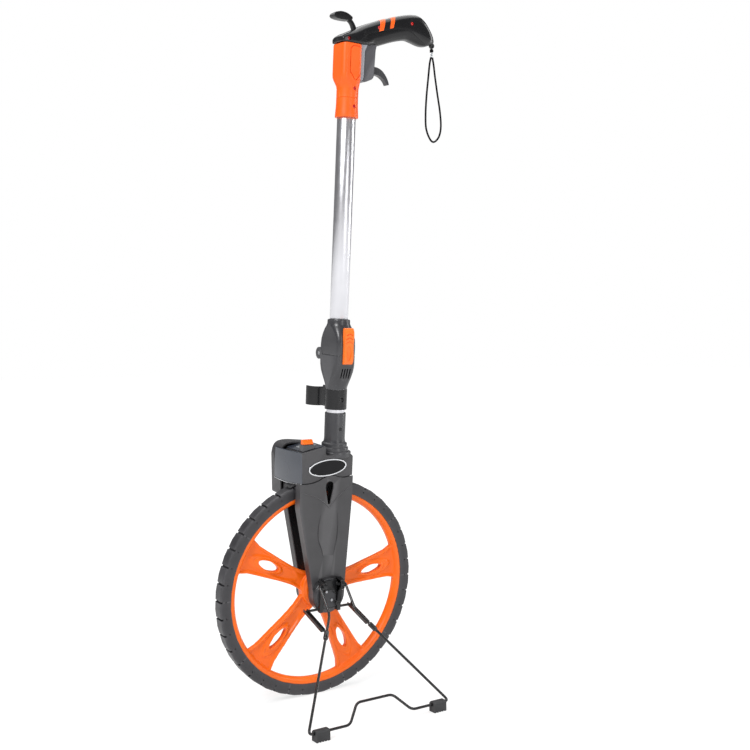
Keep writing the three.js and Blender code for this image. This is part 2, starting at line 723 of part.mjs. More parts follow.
function storageClip() {
  const cradleY = 2 * jointY;
  const inner = tubeRadius + GAP;
  const outer = inner + clipWall;
  const bridge = block(-8, 8, clipRadius - 3, cradleY - inner - 1, clipBottom + 2, clipTop - 2);
  const cradle = moved(ring(inner, outer, clipBottom, clipTop - 1, 'z', 24), 0, cradleY, 0);
  const mouth = block(-inner - GAP, inner + GAP, cradleY, cradleY + outer + 1, clipBottom - 1, clipTop + 1);
  const flanks = block(-outer - 1, outer + 1, cradleY + 7, cradleY + outer + 1, clipBottom - 1, clipTop + 1);
  const collar = rod(clipRadius, clipBottom, clipTop - GAP, 'z', 24);
  const bore = rod(tubeRadius + GAP, clipBottom - 1, clipTop + 1, 'z', 24);
  const screwHole = rod(4, -clipRadius - 1, 0, 'y', 12);
  return cut(
    join(collar, bridge, cut(cradle, mouth, flanks)),
    bore,
    moved(screwHole, 0, 0, (clipBottom + clipTop) / 2),
  );
}

// The joint's two halves meet on the parting plane; their knuckles share the hinge pin.
function jointBody(side) {
  const hingeFace = jointY - GAP; // neither body passes the hinge line, so the folded halves clear
  const outline = side < 0
    ? points([
      [-neckRadius, clipTop + GAP], [neckRadius, clipTop + GAP], [hingeFace, jointZ - 22],
      [hingeFace, jointZ - GAP / 2], [jointNear, jointZ - GAP / 2],
      [jointNear, jointZ - 22],
    ])
    : points([
      [jointNear, jointZ + GAP / 2], [hingeFace, jointZ + GAP / 2],
      [hingeFace, jointZ + 30], [neckRadius + 1, jointTop - 16], [neckRadius + 1, jointTop],
      [-neckRadius - 1, jointTop], [-neckRadius - 1, jointTop - 14], [jointNear, jointZ + 34],
    ]);
  const plan = roundedRectangle(-jointHalfX, jointHalfX, jointNear, jointY + 1, 8);
  const collar = rod(neckRadius + 0.8, clipTop + GAP, jointTop, 'z', 24);
  const middle = block(-jointHalfX, jointHalfX, jointNear, jointY + 6, jointZ - 45, jointTop - 14);
  return prismX(outline, -jointHalfX, jointHalfX)
    .intersect(join(prismZ(plan, jointZ - 45, jointTop - 14).intersect(middle), collar));
}

function knuckle(low, high, grow) {
  return moved(rod(knuckleRadius + grow, low, high, 'x', 20), 0, jointY, jointZ);
}

const outerKnuckleStart = knuckleHalf + GAP;

function jointLower() {
  const pocket = block(-latchHalf - GAP, latchHalf + GAP, jointNear - 1, jointNear + 2.5,
    latchBottom - GAP, jointZ + 1);
  return cut(
    join(
      cut(jointBody(-1), knuckle(-outerKnuckleStart, outerKnuckleStart, 1)),
      knuckle(-jointHalfX, -outerKnuckleStart, 0),
      knuckle(outerKnuckleStart, jointHalfX, 0),
    ),
    rod(tubeRadius + GAP, clipTop - 1, jointZ + 1, 'z', 24),
    moved(rod(pinRadius + GAP, -jointHalfX - 1, jointHalfX + 1, 'x', 12), 0, jointY, jointZ),
    pocket,
  );
}

function jointUpper() {
  const clearance = join(
    knuckle(-jointHalfX - 1, -outerKnuckleStart + GAP, 1),
    knuckle(outerKnuckleStart - GAP, jointHalfX + 1, 1),
  );
  const track = block(-latchHalf - GAP, latchHalf + GAP, jointNear - 1, jointNear + 2.5,
    jointZ - 1, latchTop + 10);
  return cut(
    join(cut(jointBody(1), clearance), knuckle(-knuckleHalf, knuckleHalf, 0)),
    rod(tubeRadius + GAP, jointZ + 20, jointTop + 1, 'z', 24),
    moved(rod(pinRadius + GAP, -jointHalfX - 1, jointHalfX + 1, 'x', 12), 0, jointY, jointZ),
    track,
  );
}

function foldLatch() {
  const back = jointNear + 2.5 - GAP;
  const face = jointNear + 2.5 - GAP - latchThickness - 2.5;
  const side = points([
    [back, latchBottom], [back, latchTop], [face + 3, latchTop], [face, latchTop - 8],
    [face, latchBottom + 8], [face + 3, latchBottom],
  ]);
  const grooves = [];
  for (let i = 0; i < 3; i += 1) {
    const z = latchTop - 14 - 6 * i;
    grooves.push(block(-latchHalf + 2, latchHalf - 2, face - 1, face + 1, z - 1.4, z + 1.4));
  }
  return cut(prismX(side, -latchHalf, latchHalf, 1), ...grooves);
}

function polePieces() {
  addPiece(poleGroup, 'pole_socket', charcoal, cut(poleSocket(),
    moved(rod(screwRadius + GAP, -socketRadius - 2, 0, 'y', 12), 0, 0, socketScrewZ)));
  addPiece(poleGroup, 'socket_screw', steel,
    moved(rod(screwRadius, -socketRadius - 0.8, -tubeRadius - GAP, 'y', 12), 0, 0, socketScrewZ));
  addPiece(poleGroup, 'lower_tube', aluminium,
    ring(tubeRadius - tubeWall, tubeRadius, lowerTubeFoot, jointZ - 20, 'z', 24));
  addPiece(poleGroup, 'storage_clip', black, storageClip());
  addPiece(poleGroup, 'joint_lower', charcoal, jointLower());
  addPiece(poleGroup, 'hinge_pin', steel,
    moved(rod(pinRadius, -jointHalfX, jointHalfX, 'x', 12), 0, jointY, jointZ));
  addPiece(poleGroup, 'joint_upper', charcoal, jointUpper());
  addPiece(poleGroup, 'fold_latch', orange, foldLatch());
  addPiece(poleGroup, 'upper_tube', aluminium,
    ring(tubeRadius - tubeWall, tubeRadius, jointZ + 20 + GAP, upperTubeTop, 'z', 24));
}

// ---------------------------------------------------------------- handle
// Side outlines as (x, z) from the pole axis.
function headOutline() {
  return points([
    [-neckRadius - 1.3, handleBottom], [neckRadius + 1.3, handleBottom], [neckRadius, handleBottom + 20],
    [neckRadius, neckTop - 12], [headRear, neckTop], [headRear, headTop], [headFront, headTop - 1],
    [headFront, neckTop], [-neckRadius, neckTop - 14], [-neckRadius, handleBottom + 20],
  ]);
}

function gripOutline() {
  const back = new THREE.SplineCurve(points([
    [headFront - 2, headTop + 8], [-12, headTop + 17], [10, headTop + 30], [45, headTop + 45], [75, headTop + 56], [112, headTop + 68],
    [134, headTop + 71], [150, headTop + 64], [165, headTop + 47], [174, headTop + 31],
  ])).getPoints(9);
  const belly = new THREE.SplineCurve(points([
    [171, headTop + 25], [153, headTop + 18], [136, headTop + 20], [118, headTop + 24], [98, headTop + 20], [70, headTop + 10], [housingRear + 4, headTop + 3],
  ])).getPoints(6);
  return [...back, ...belly, ...points([
    [housingRear, headTop - 5], [housingRear - 2, housingBottom + 11], [housingRear - 20, housingBottom],
    [headRear + GAP, housingBottom + 4], [headRear + GAP, headTop + GAP], [headFront - 2, headTop + GAP],
  ])].reverse();
}

// A half shell lies on one side of the handle's middle plane.
function halfShell(outline, halfY, side, bevel) {
  const span = (low, high) => (side < 0 ? [-high, -low] : [low, high]);
  const whole = prismY(outline, -halfY, halfY, bevel);
  const other = block(-500, 500, ...span(-500, GAP / 2), 0, 2000);
  const hollow = prismY(insetOutline(outline, gripShell), -halfY + gripShell, halfY - gripShell);
  return cut(whole, hollow, other);
}

const gripScrews = [[-12, headTop + 6], [51, headTop + 34], [119, headTop + 52]];
const headScrews = [[3, handleBottom + 48], [3, handleBottom + 18]];

function screwHoles(places, halfY, depth) {
  return places.map(([x, z]) => (
    moved(rod(screwRadius + GAP, -halfY - 5, -halfY + depth, 'y', 12), x, 0, z)));
}

// The head's plan swells from the round neck to a rounded box.
function headShell(side) {
  const round = rod(neckRadius + 1.3, handleBottom - 1, neckTop + 5, 'z', 24);
  const box = prismZ(roundedRectangle(headFront, headRear, -headHalfY, headHalfY, 8),
    neckTop - 1, headTop + 1);
  const taper = new THREE.CylinderGeometry(headHalfY * 1.42, neckRadius, 22, 24).rotateX(Math.PI / 2);
  const swell = moved(solidOf(taper), 0, 0, neckTop - 11)
    .intersect(prismZ(roundedRectangle(headFront, headRear, -headHalfY, headHalfY, 8),
      neckTop - 22, neckTop));
  const shell = halfShell(headOutline(), headHalfY, side, 1.5).intersect(join(round, box, swell));
  const bore = rod(tubeRadius + GAP, handleBottom - 1, upperTubeTop + GAP, 'z', 24);
  const otherSide = block(-500, 500, side < 0 ? -GAP / 2 : -500, side < 0 ? 500 : GAP / 2, 0, 2000);
  const sleeve = cut(
    ring(tubeRadius + GAP, neckRadius + 0.4, handleBottom + 1, neckTop - 6, 'z', 24), otherSide);
  const solid = cut(join(shell, sleeve), bore);
  return side < 0 ? cut(solid, ...screwHoles(headScrews, neckRadius, 1.5)) : solid;
}

function gripShellHalf(side) {
  const shell = halfShell(gripOutline(), gripHalfY, side, 2);
  const thinHousing = join(
    block(headRear, housingRear + 5, housingHalfY, gripHalfY + 1, housingBottom - 5, headTop - 3),
    block(headRear, housingRear + 5, -gripHalfY - 1, -housingHalfY, housingBottom - 5, headTop - 3),
  );
  const housingWall = block(headRear + GAP, housingRear - 3, housingHalfY - gripShell, housingHalfY,
    housingBottom + 8, headTop - 2);
  const wall = side < 0 ? housingWall.scale([1, -1, 1]) : housingWall;
  const triggerSlot = block(housingRear - 14, housingRear + 10, -triggerHalfY - 0.6, triggerHalfY + 0.6,
    triggerPivotZ - 14, triggerPivotZ + 12);
  const leverSlot = block(leverPivotX - 15, leverPivotX + 13, -leverHalfY - 0.6, leverHalfY + 0.6,
    leverPivotZ - 6, leverPivotZ + 40);
  const pinHoles = join(
    moved(rod(pivotPinRadius + GAP, -9, 9, 'y', 12), triggerPivotX, 0, triggerPivotZ),
    moved(rod(pivotPinRadius + GAP, -9, 9, 'y', 12), leverPivotX, 0, leverPivotZ),
  );
  const seats = join(
    moved(rod(6, triggerHalfY + 1, housingHalfY - 1, 'y', 12), triggerPivotX, 0, triggerPivotZ),
    moved(rod(6, leverHalfY + 1, gripHalfY - 1, 'y', 12), leverPivotX, 0, leverPivotZ),
  );
  const bosses = side < 0 ? seats.scale([1, -1, 1]) : seats;
  const solid = cut(join(cut(shell, thinHousing), wall, bosses), triggerSlot, leverSlot, pinHoles);
  return side < 0 ? cut(solid, ...screwHoles(gripScrews, gripHalfY, 2)) : solid;
}

function brakeTrigger() {
  const outer = new THREE.SplineCurve(points([
    [housingRear - 4, headTop - 30], [58, headTop - 31], [68, headTop - 35], [76, headTop - 43.5], [82, headTop - 57]])).getPoints(8);
  const inner = new THREE.SplineCurve(points([
    [77, headTop - 58], [71, headTop - 50], [61, headTop - 44], [housingRear + 2, headTop - 43], [triggerPivotX - 3, headTop - 43]])).getPoints(6);
  const blade = prismY([...outer, ...inner, ...points([[triggerPivotX - 4, headTop - 34]])].reverse(),
    -triggerHalfY, triggerHalfY, 1);
  const hole = moved(rod(pivotPinRadius + GAP, -9, 9, 'y', 12), triggerPivotX, 0, triggerPivotZ);
  return cut(blade, hole);
}

function resetLever() {
  const stem = points([
    [leverPivotX - 5, leverPivotZ - 4], [leverPivotX + 5, leverPivotZ - 4], [leverPivotX + 5, headTop + 25],
    [leverPivotX + 2, headTop + 35], [0, headTop + 45], [-4, headTop + 40], [leverPivotX - 6, headTop + 25],
  ]);
  const paddle = points([
    [-37, headTop + 42], [-33, headTop + 48], [-22, headTop + 51.5], [-8, headTop + 50], [1, headTop + 46], [0, headTop + 40], [-10, headTop + 38.5], [-26, headTop + 38],
  ]);
  return cut(
    join(prismY(stem, -leverHalfY, leverHalfY, 0.8), prismY(paddle, -paddleHalfY, paddleHalfY, 2)),
    moved(rod(pivotPinRadius + GAP, -9, 9, 'y', 12), leverPivotX, 0, leverPivotZ),
  );
}

const lugX = 174;
const lugZ = headTop + 26;

function strapLug() {
  return cut(
    moved(rod(4.5, -2, 2, 'y', 12), lugX, 0, lugZ - 1),
    moved(rod(1.8, -4, 4, 'y', 12), lugX, 0, lugZ - 1.6),
  );
}

function handlePieces() {
  addPiece(handleGroup, 'head_shell_near', orange, headShell(-1));
  addPiece(handleGroup, 'head_shell_far', orange, headShell(1));
  const lug = strapLug();
  const nearHalf = join(gripShellHalf(-1), cut(lug, block(-500, 500, -GAP / 2, 500, 0, 2000)));
  addPiece(handleGroup, 'grip_shell_near', charcoal, nearHalf);
  const farHalf = join(gripShellHalf(1), cut(lug, block(-500, 500, -500, GAP / 2, 0, 2000)));
  addPiece(handleGroup, 'grip_shell_far', charcoal, farHalf);
  addPiece(handleGroup, 'brake_trigger', charcoal, brakeTrigger());
  addPiece(handleGroup, 'trigger_pin', steel,
    moved(rod(pivotPinRadius, -8.5, 8.5, 'y', 12), triggerPivotX, 0, triggerPivotZ));
  addPiece(handleGroup, 'reset_lever', black, resetLever());
  addPiece(handleGroup, 'lever_pin', steel,
    moved(rod(pivotPinRadius, -8.5, 8.5, 'y', 12), leverPivotX, 0, leverPivotZ));
}

// ---------------------------------------------------------------- kickstand
// The wheel stands on one flat of its faceted tread.
const groundBelowAxle = tyreRadius * Math.cos(Math.PI / notchCount) * Math.cos(LEAN)
  + (tyreWidth / 2 - tyreShoulder) * Math.sin(LEAN);
const hingeBelowAxle = -(standHingeY * Math.sin(LEAN) + standHingeZ * Math.cos(LEAN));
const crossbarDrop = groundBelowAxle - footPadBelow - hingeBelowAxle;
const standSlope = Math.asin(crossbarDrop / standLength) - LEAN; // below the fork's -Y

// The wire lies in the stand's own plane: x across, y away from the hinge (towards -Y).
function standWire() {
  const plane = [
    [wireTopHalf - 14, 0], [wireTopHalf, 0], [wireTopHalf, wireStraight], [wireFootHalf, standLength],
    [bumpBaseHalf, standLength], [bumpTopHalf, standLength - bumpHeight],
  ];
  const right = plane.map(([x, along]) => new THREE.Vector3(x, -along, 0));
  const left = right.map((p) => new THREE.Vector3(-p.x, p.y, 0)).reverse();
  return roundedPath([...right, ...left], [2.5, 12, 9, 8, 8]);
}

// A wire bent at its corners: straight runs take one step each and each corner a few.
class BentWire extends THREE.Curve {
  constructor(wirePoints) {
    super();
    this.points = wirePoints;
  }

  getPoint(t) {
    const place = Math.min(Math.max(t, 0), 1) * (this.points.length - 1);
    const i = Math.min(Math.floor(place), this.points.length - 2);
    return this.points[i].clone().lerp(this.points[i + 1], place - i);
  }

  getUtoTmapping(u) {
    return u;
  }
}

// The reaches say how far from each corner its bend starts; they repeat from both ends.
function roundedPath(corners, reaches) {
  const wirePoints = [corners[0]];
  for (let i = 1; i < corners.length - 1; i += 1) {
    const fromEnd = Math.min(i, corners.length - 1 - i);
    const reach = reaches[fromEnd - 1];
    const before = corners[i].clone().lerp(corners[i - 1], reach / corners[i].distanceTo(corners[i - 1]));
    const after = corners[i].clone().lerp(corners[i + 1], reach / corners[i].distanceTo(corners[i + 1]));
    wirePoints.push(...new THREE.QuadraticBezierCurve3(before, corners[i], after).getPoints(3));
  }
  wirePoints.push(corners[corners.length - 1]);
  return new BentWire(wirePoints);
}

function footPad() {
  const half = footPadWidth / 2;
  const outline = points([
    [-half, -footPadBelow], [half, -footPadBelow], [half, 2], [half - 4, footPadHeight - footPadBelow],
    [-half + 4, footPadHeight - footPadBelow], [-half, 2],
  ]);
  const bore = rod(wireRadius + GAP, -footPadLength, footPadLength, 'x', 12);
  return cut(prismX(outline, -footPadLength / 2, footPadLength / 2, 1), bore);
}

function legPoint(side, along) {
  const share = (along - wireStraight) / (standLength - wireStraight);
  const across = wireTopHalf + share * (wireFootHalf - wireTopHalf);
  return new THREE.Vector3(side * across, -along, 0);
}

function standCollar(side) {
  const from = legPoint(side, collarAlong);
  const to = legPoint(side, collarAlong + collarLength);
  return cut(
    rodBetween(from, to, wireRadius + 2, 14),
    rodBetween(legPoint(side, collarAlong - 5), legPoint(side, collarAlong + collarLength + 5),
      wireRadius + GAP, 14),
  );
}

function standBracket() {
  const disc = moved(rod(bracketRadius, -legHalf - 6, -legHalf - GAP, 'y', 28), 0, 0, footCentreZ);
  const outline = [];
  for (let i = 0; i <= 8; i += 1) {
    const angle = Math.PI / 2 + (Math.PI * i) / 8;
    outline.push(new THREE.Vector2(
      standHingeY + 6.5 * Math.cos(angle), standHingeZ + 6.5 * Math.sin(angle)));
  }
  const lug = [...points([
    [-legHalf - 3, standHingeZ + 9], [standHingeY, standHingeZ + 6.5]]), ...outline.slice(1), ...points([
    [bracketFace, braceRodZ + 6], [bracketFace, braceRodZ - 5], [-legHalf - 3, braceRodZ - 4]])];
  const lugs = [-1, 1].map((side) => {
    const inner = side * (wireTopHalf - 12);
    const outer = side * (wireTopHalf - wireRadius - 2.4);
    return prismX([...lug].reverse(), Math.min(inner, outer), Math.max(inner, outer));
  });
  const hingeBore = moved(rod(wireRadius + GAP, -40, 40, 'x', 12), 0, standHingeY, standHingeZ);
  const braceBore = moved(rod(wireRadius + GAP, -40, 40, 'x', 12), 0, braceRodY, braceRodZ);
  const trimmed = cut(disc, block(-60, 60, -60, 0, standHingeZ + 7, 60));
  return cut(join(trimmed, ...lugs), hingeBore, braceBore, ...bracketScrewPlaces().map(([x, z]) => (
    moved(rod(screwRadius + GAP, -60, 0, 'y', 12), x, 0, z))));
}

function bracketScrewPlaces() {
  return [[-6, footCentreZ + 8], [5, footCentreZ - 8]];
}

// The brace swings on its rod and props the stand's collars.
const braceGroup = new THREE.Group();

function bracePieces() {
  const collarPoint = legPoint(1, collarAlong + collarLength / 2);
  const drop = standSlope;
  const collarY = standHingeY + collarPoint.y * Math.cos(drop);
  const collarZ = standHingeZ + collarPoint.y * Math.sin(drop);
  braceGroup.position.set(standX, braceRodY, braceRodZ);
  const reach = new THREE.Vector2(collarY - braceRodY, collarZ - braceRodZ);
  braceGroup.rotation.x = Math.atan2(-reach.y, -reach.x);
  const half = braceWidth / 2;
  const channel = points([
    [-half, -2.8], [half, -2.8], [half, 2.8], [half - 1.4, 2.8], [half - 1.4, -1], [-half + 1.4, -1],
    [-half + 1.4, 2.8], [-half, 2.8],
  ]);
  const strut = prismY(channel, -braceLength, 4);
  addPiece(braceGroup, 'stand_brace', blackSteel, join(
    rod(wireRadius, -braceRodHalf, braceRodHalf, 'x', 12),
    moved(strut, -braceRodHalf, 0, 0),
    moved(strut, braceRodHalf, 0, 0),
  ));
}

function standPieces() {
  standGroup.position.set(standX, standHingeY, standHingeZ);
  standGroup.rotation.x = standSlope;
  const wire = standWire();
  addPiece(standGroup, 'stand_wire', blackSteel, tubeAlong(wire, wireRadius, wire.points.length - 1, 6));
  for (const [side, name] of [[-1, 'left'], [1, 'right']]) {
    const pad = addPiece(standGroup, `foot_${name}`, rubber, footPad());
    pad.position.set(side * footPadCentre, -standLength, 0);
    pad.rotation.x = -standSlope - LEAN;
    addPiece(standGroup, `stand_collar_${name}`, blackSteel, standCollar(side));
  }
  const bracket = addPiece(forkGroup, 'stand_bracket', black, standBracket());
  bracket.position.x = standX;
  bracketScrewPlaces().forEach(([x, z], i) => {
    const screw = rod(screwRadius, -legHalf - 7, -legHalf - GAP, 'y', 12);
    addPiece(forkGroup, `bracket_screw_${i + 1}`, steel, moved(screw, standX + x, 0, z));
  });
}

// ---------------------------------------------------------------- wrist strap
// It hangs plumb from the lug at the grip's tail, so it is drawn in upright axes from that lug.
const strapDrops = [
  [-1.7, 0, -20], [-4.5, 0.5, -33], [-7.5, 1, -58], [-11, 2, -90], [-13.5, 2, -122], [-13, 1.5, -148],
  [-5, 1, -166], [4, 1, -170], [14.5, 0.5, -160], [19, 0, -142], [17.5, 0, -116], [12, 0, -84],
  [7, 0, -53], [4.3, 0, -33], [1.7, 0, -20],
];

function strapPieces() {
  const lug = new THREE.Vector3(poleX + lugX, 0, lugZ - 1.6).applyAxisAngle(new THREE.Vector3(1, 0, 0), LEAN);
  strapGroup.position.copy(lug);
  const knotDrop = -4.6 - strapKnot;
  const knot = new THREE.SphereGeometry(strapKnot, 14, 8).rotateX(Math.PI / 2);
  addPiece(strapGroup, 'strap_knot', black, moved(solidOf(knot), 0, 0, knotDrop));
  const sleeveTop = knotDrop - strapKnot - GAP;
  const loopTop = sleeveTop - strapSleeveLength - GAP;
  addPiece(strapGroup, 'strap_sleeve', clearPlastic,
    rod(strapSleeve, sleeveTop - strapSleeveLength, sleeveTop, 'z', 12));
  const route = strapDrops.map(([x, y, z]) => new THREE.Vector3(x, y, z + loopTop - strapDrops[0][2]));
  addPiece(strapGroup, 'wrist_strap', black,
    tubeAlong(new THREE.CatmullRomCurve3(route), strapCord, 42, 8));
}

// ---------------------------------------------------------------- assembly
wheelPieces();
forkPieces();
counterPieces();
brakePieces();
polePieces();
handlePieces();
standPieces();
bracePieces();
strapPieces();

const leaning = new THREE.Group();
leaning.rotation.x = LEAN;
leaning.add(wheelGroup, forkGroup, poleGroup, standGroup, braceGroup);

// The origin is the middle of the object's footprint box, on the ground; the strap hangs free of it.
const wheel = new THREE.Group();
wheel.add(leaning);
wheel.updateMatrixWorld(true);
const bounds = new THREE.Box3().setFromObject(wheel, true);
const centre = bounds.getCenter(new THREE.Vector3());
wheel.add(strapGroup);
wheel.position.set(-centre.x, -centre.y, -bounds.min.z);

export default wheel;
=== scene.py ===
"""Measuring wheel: the visual model around the CAD frame.

Lengths in the helpers are millimetres in the fork's own axes: origin at the wheel centre, X to the rear,
Y along the axle to the far side, Z up the pole. WORLD turns them into the row frame in metres."""
import math

import bmesh
import bpy
from mathutils import Matrix, Vector


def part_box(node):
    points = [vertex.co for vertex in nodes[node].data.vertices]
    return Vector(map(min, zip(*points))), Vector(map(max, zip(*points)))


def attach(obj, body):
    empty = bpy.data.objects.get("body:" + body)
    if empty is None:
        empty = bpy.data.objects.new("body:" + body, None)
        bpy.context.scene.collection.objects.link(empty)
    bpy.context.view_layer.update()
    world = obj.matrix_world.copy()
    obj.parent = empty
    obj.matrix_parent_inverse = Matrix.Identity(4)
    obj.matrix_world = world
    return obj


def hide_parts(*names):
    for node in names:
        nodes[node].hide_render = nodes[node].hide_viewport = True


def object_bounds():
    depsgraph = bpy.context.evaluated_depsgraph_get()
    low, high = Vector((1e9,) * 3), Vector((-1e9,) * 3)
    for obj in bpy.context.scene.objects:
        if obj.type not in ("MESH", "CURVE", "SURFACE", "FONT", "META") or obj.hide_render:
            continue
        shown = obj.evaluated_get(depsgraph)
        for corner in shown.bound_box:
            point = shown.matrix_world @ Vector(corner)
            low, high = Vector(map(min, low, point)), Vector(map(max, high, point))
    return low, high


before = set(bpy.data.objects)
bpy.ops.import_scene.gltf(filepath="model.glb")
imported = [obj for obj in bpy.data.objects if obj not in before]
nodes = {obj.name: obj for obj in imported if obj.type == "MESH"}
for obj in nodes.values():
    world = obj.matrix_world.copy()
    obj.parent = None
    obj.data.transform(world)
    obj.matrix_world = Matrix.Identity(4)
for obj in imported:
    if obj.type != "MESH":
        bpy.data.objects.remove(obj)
cad_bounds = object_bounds()

MM = 0.001
LEAN = math.radians(5.5)


def middle(node):
    low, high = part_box(node)
    return (low + high) / 2


WORLD = Matrix.Translation(middle("wheel_rim")) @ Matrix.Rotation(LEAN, 4, "X") @ Matrix.Scale(MM, 4)
POLE_X = 24.5
POLE = WORLD @ Matrix.Translation((POLE_X, 0, 0))


# ------------------------------------------------------------------ camera and light
CAMERA_FROM_WHEEL = Vector((-941, -1538, 558))
CAMERA_VIEW = Vector((0.56, 0.823, -0.098))
CAMERA_UP = Vector((0.021, 0.104, 0.994))
CAMERA_LENS = 49.92


def make_camera():
    turn = Matrix.Rotation(LEAN, 3, "X")
    back = -(turn @ CAMERA_VIEW).normalized()
    right = (turn @ CAMERA_UP).cross(back).normalized()
    up = back.cross(right)
    data = bpy.data.cameras.new("camera")
    data.sensor_width = 36
    data.lens = CAMERA_LENS
    data.clip_end = 50
    camera = bpy.data.objects.new("camera", data)
    pose = Matrix((right, up, back)).transposed().to_4x4()
    pose.translation = WORLD @ CAMERA_FROM_WHEEL
    camera.matrix_world = pose
    bpy.context.scene.collection.objects.link(camera)
    bpy.context.scene.camera = camera


def area_light(name, at, aim, size, power, colour=(1, 1, 1)):
    data = bpy.data.lights.new(name, "AREA")
    data.shape = "RECTANGLE"
    data.size, data.size_y = size
    data.energy = power
    data.color = colour
    lamp = bpy.data.objects.new(name, data)
    lamp.location = at
    lamp.rotation_euler = (Vector(aim) - Vector(at)).to_track_quat("-Z", "Y").to_euler()
    bpy.context.scene.collection.objects.link(lamp)


ROOM_LIGHT = 0.2
PAPER_WHITE = 1.0


def make_light():
    world = bpy.data.worlds.new("studio")
    bpy.context.scene.world = world
    world.use_nodes = True
    tree = world.node_tree
    sky = tree.nodes["Background"]
    sky.inputs["Color"].default_value = (1, 1, 1, 1)
    # Paper white beyond the floor, and a dimmer room for the light that falls on the object.
    rays = shader_node(tree, "LightPath")
    level = shader_node(tree, "MapRange", To_Min=ROOM_LIGHT, To_Max=PAPER_WHITE)
    link(tree, rays, "Is Camera Ray", level, "Value")
    link(tree, level, "Result", sky, "Strength")
    area_light("key", (-2.1, -1.2, 2.4), (0, 0, 0.5), (1.0, 1.4), 74)
    area_light("rim", (1.9, -0.6, 1.3), (0.05, 0, 0.6), (0.35, 1.9), 15)
    area_light("front", (0.3, -2.7, 1.1), (0, 0, 0.5), (0.7, 1.8), 14)
    area_light("overhead", (0.2, 0.5, 3.0), (0, 0, 0), (3.0, 3.0), 60)
    bpy.context.scene.view_settings.view_transform = "Standard"


# ------------------------------------------------------------------ materials
def link(tree, source, output, target, socket):
    tree.links.new(source.outputs[output], target.inputs[socket])


def shader_node(tree, kind, **inputs):
    """A new node; its inputs are named with underscores for spaces."""
    node = tree.nodes.new("ShaderNode" + kind)
    for socket, value in inputs.items():
        node.inputs[socket.replace("_", " ")].default_value = value
    return node


def bump_from(tree, source, output, strength, height):
    """Raises the surface by a height in millimetres where the source is bright."""
    bump = shader_node(tree, "Bump", Strength=strength, Distance=height * MM)
    link(tree, source, output, bump, "Height")
    link(tree, bump, "Normal", tree.nodes["Principled BSDF"], "Normal")


CLOUD_SCALE = 28  # colour clouds, per metre
PATCH_SCALE = 90  # patches of duller and glossier surface


def surface(name, colour, roughness, grain=0.0, grain_size=1.0, variation=0.06, wear_and_highlight=0.0,
            spread=0.06, **settings):
    """A moulded, rubber or metal finish: clouded colour, uneven roughness, fine grain and pale edges that are
    partly worn and partly a painted highlight.
    """
    material = bpy.data.materials.new(name)
    material.use_nodes = True
    tree = material.node_tree
    shader = tree.nodes["Principled BSDF"]
    for socket, value in settings.items():
        shader.inputs[socket.replace("_", " ")].default_value = value
    place = shader_node(tree, "TexCoord")
    cloud = shader_node(tree, "TexNoise", Scale=CLOUD_SCALE, Detail=6)
    link(tree, place, "Object", cloud, "Vector")
    tint = shader_node(tree, "ValToRGB")
    low = [c * (1 - variation) for c in colour]
    high = [min(1, c * (1 + variation) + variation * 0.01) for c in colour]
    for stop, shade, position in zip(tint.color_ramp.elements, (low, high), (0.3, 0.7)):
        stop.color = (*shade, 1)
        stop.position = position
    link(tree, cloud, "Fac", tint, "Fac")
    # Sharp edges are lightened by their pointiness: partly wear, partly a painted highlight along the edges.
    if wear_and_highlight:
        edge = shader_node(tree, "NewGeometry")
        ramp = shader_node(tree, "MapRange", From_Min=0.51, From_Max=0.6, To_Max=wear_and_highlight)
        link(tree, edge, "Pointiness", ramp, "Value")
        mix = shader_node(tree, "Mix")
        mix.data_type = "RGBA"
        tree.links.new(ramp.outputs["Result"], mix.inputs[0])
        tree.links.new(tint.outputs["Color"], mix.inputs[6])
        mix.inputs[7].default_value = (*[min(1, c * 1.6 + 0.06) for c in colour], 1)
        tree.links.new(mix.outputs[2], shader.inputs["Base Color"])
    else:
        link(tree, tint, "Color", shader, "Base Color")
    patch = shader_node(tree, "TexNoise", Scale=PATCH_SCALE, Detail=4)
    link(tree, place, "Object", patch, "Vector")
    gloss = shader_node(tree, "MapRange", To_Min=max(0.02, roughness - spread),
                        To_Max=min(1, roughness + spread))
    link(tree, patch, "Fac", gloss, "Value")
    link(tree, gloss, "Result", shader, "Roughness")
    if grain:
        fine = shader_node(tree, "TexNoise", Scale=1 / (grain_size * MM), Detail=3)
        link(tree, place, "Object", fine, "Vector")
        bump_from(tree, fine, "Fac", 0.5, grain)
    return material


def drawn_metal(name, colour, roughness, axis_scale):
    """A drawn tube: fine scratches run along it."""
    material = surface(name, colour, roughness, variation=0.03, Metallic=1.0)
    tree = material.node_tree
    place = shader_node(tree, "TexCoord")
    stretch = shader_node(tree, "Mapping", Scale=axis_scale)
    link(tree, place, "Object", stretch, "Vector")
    lines = shader_node(tree, "TexNoise", Scale=1.0, Detail=5)
    link(tree, stretch, "Vector", lines, "Vector")
    bump_from(tree, lines, "Fac", 0.25, 0.02)
    return material


ORANGE = surface("orange_moulded", (0.90, 0.140, 0.004), 0.33, 0.03, 0.7, 0.06, 0.25,
                 Specular_IOR_Level=0.35)
ORANGE_HEAD = surface("orange_head", (0.86, 0.100, 0.004), 0.40, 0.05, 0.5, 0.06, 0.3,
                      Specular_IOR_Level=0.35)
CHARCOAL = surface("charcoal_textured", (0.036, 0.035, 0.038), 0.42, 0.10, 0.45, 0.12, 0.5)
GRIP_TAIL = surface("grip_tail_textured", (0.055, 0.054, 0.058), 0.42, 0.10, 0.45, 0.12, 0.5)
GRIP_SIDE = surface("grip_side_satin", (0.070, 0.070, 0.078), 0.30, 0.05, 0.5, 0.10, 0.45)
GREY = surface("grey_satin", (0.036, 0.036, 0.040), 0.30, 0.05, 0.5, 0.10, 0.45)
NOSE = surface("nose_gloss", (0.030, 0.036, 0.050), 0.15, 0.02, 0.6, 0.08, 0.5, spread=0.03,
               Coat_Weight=0.6, Coat_Roughness=0.08)
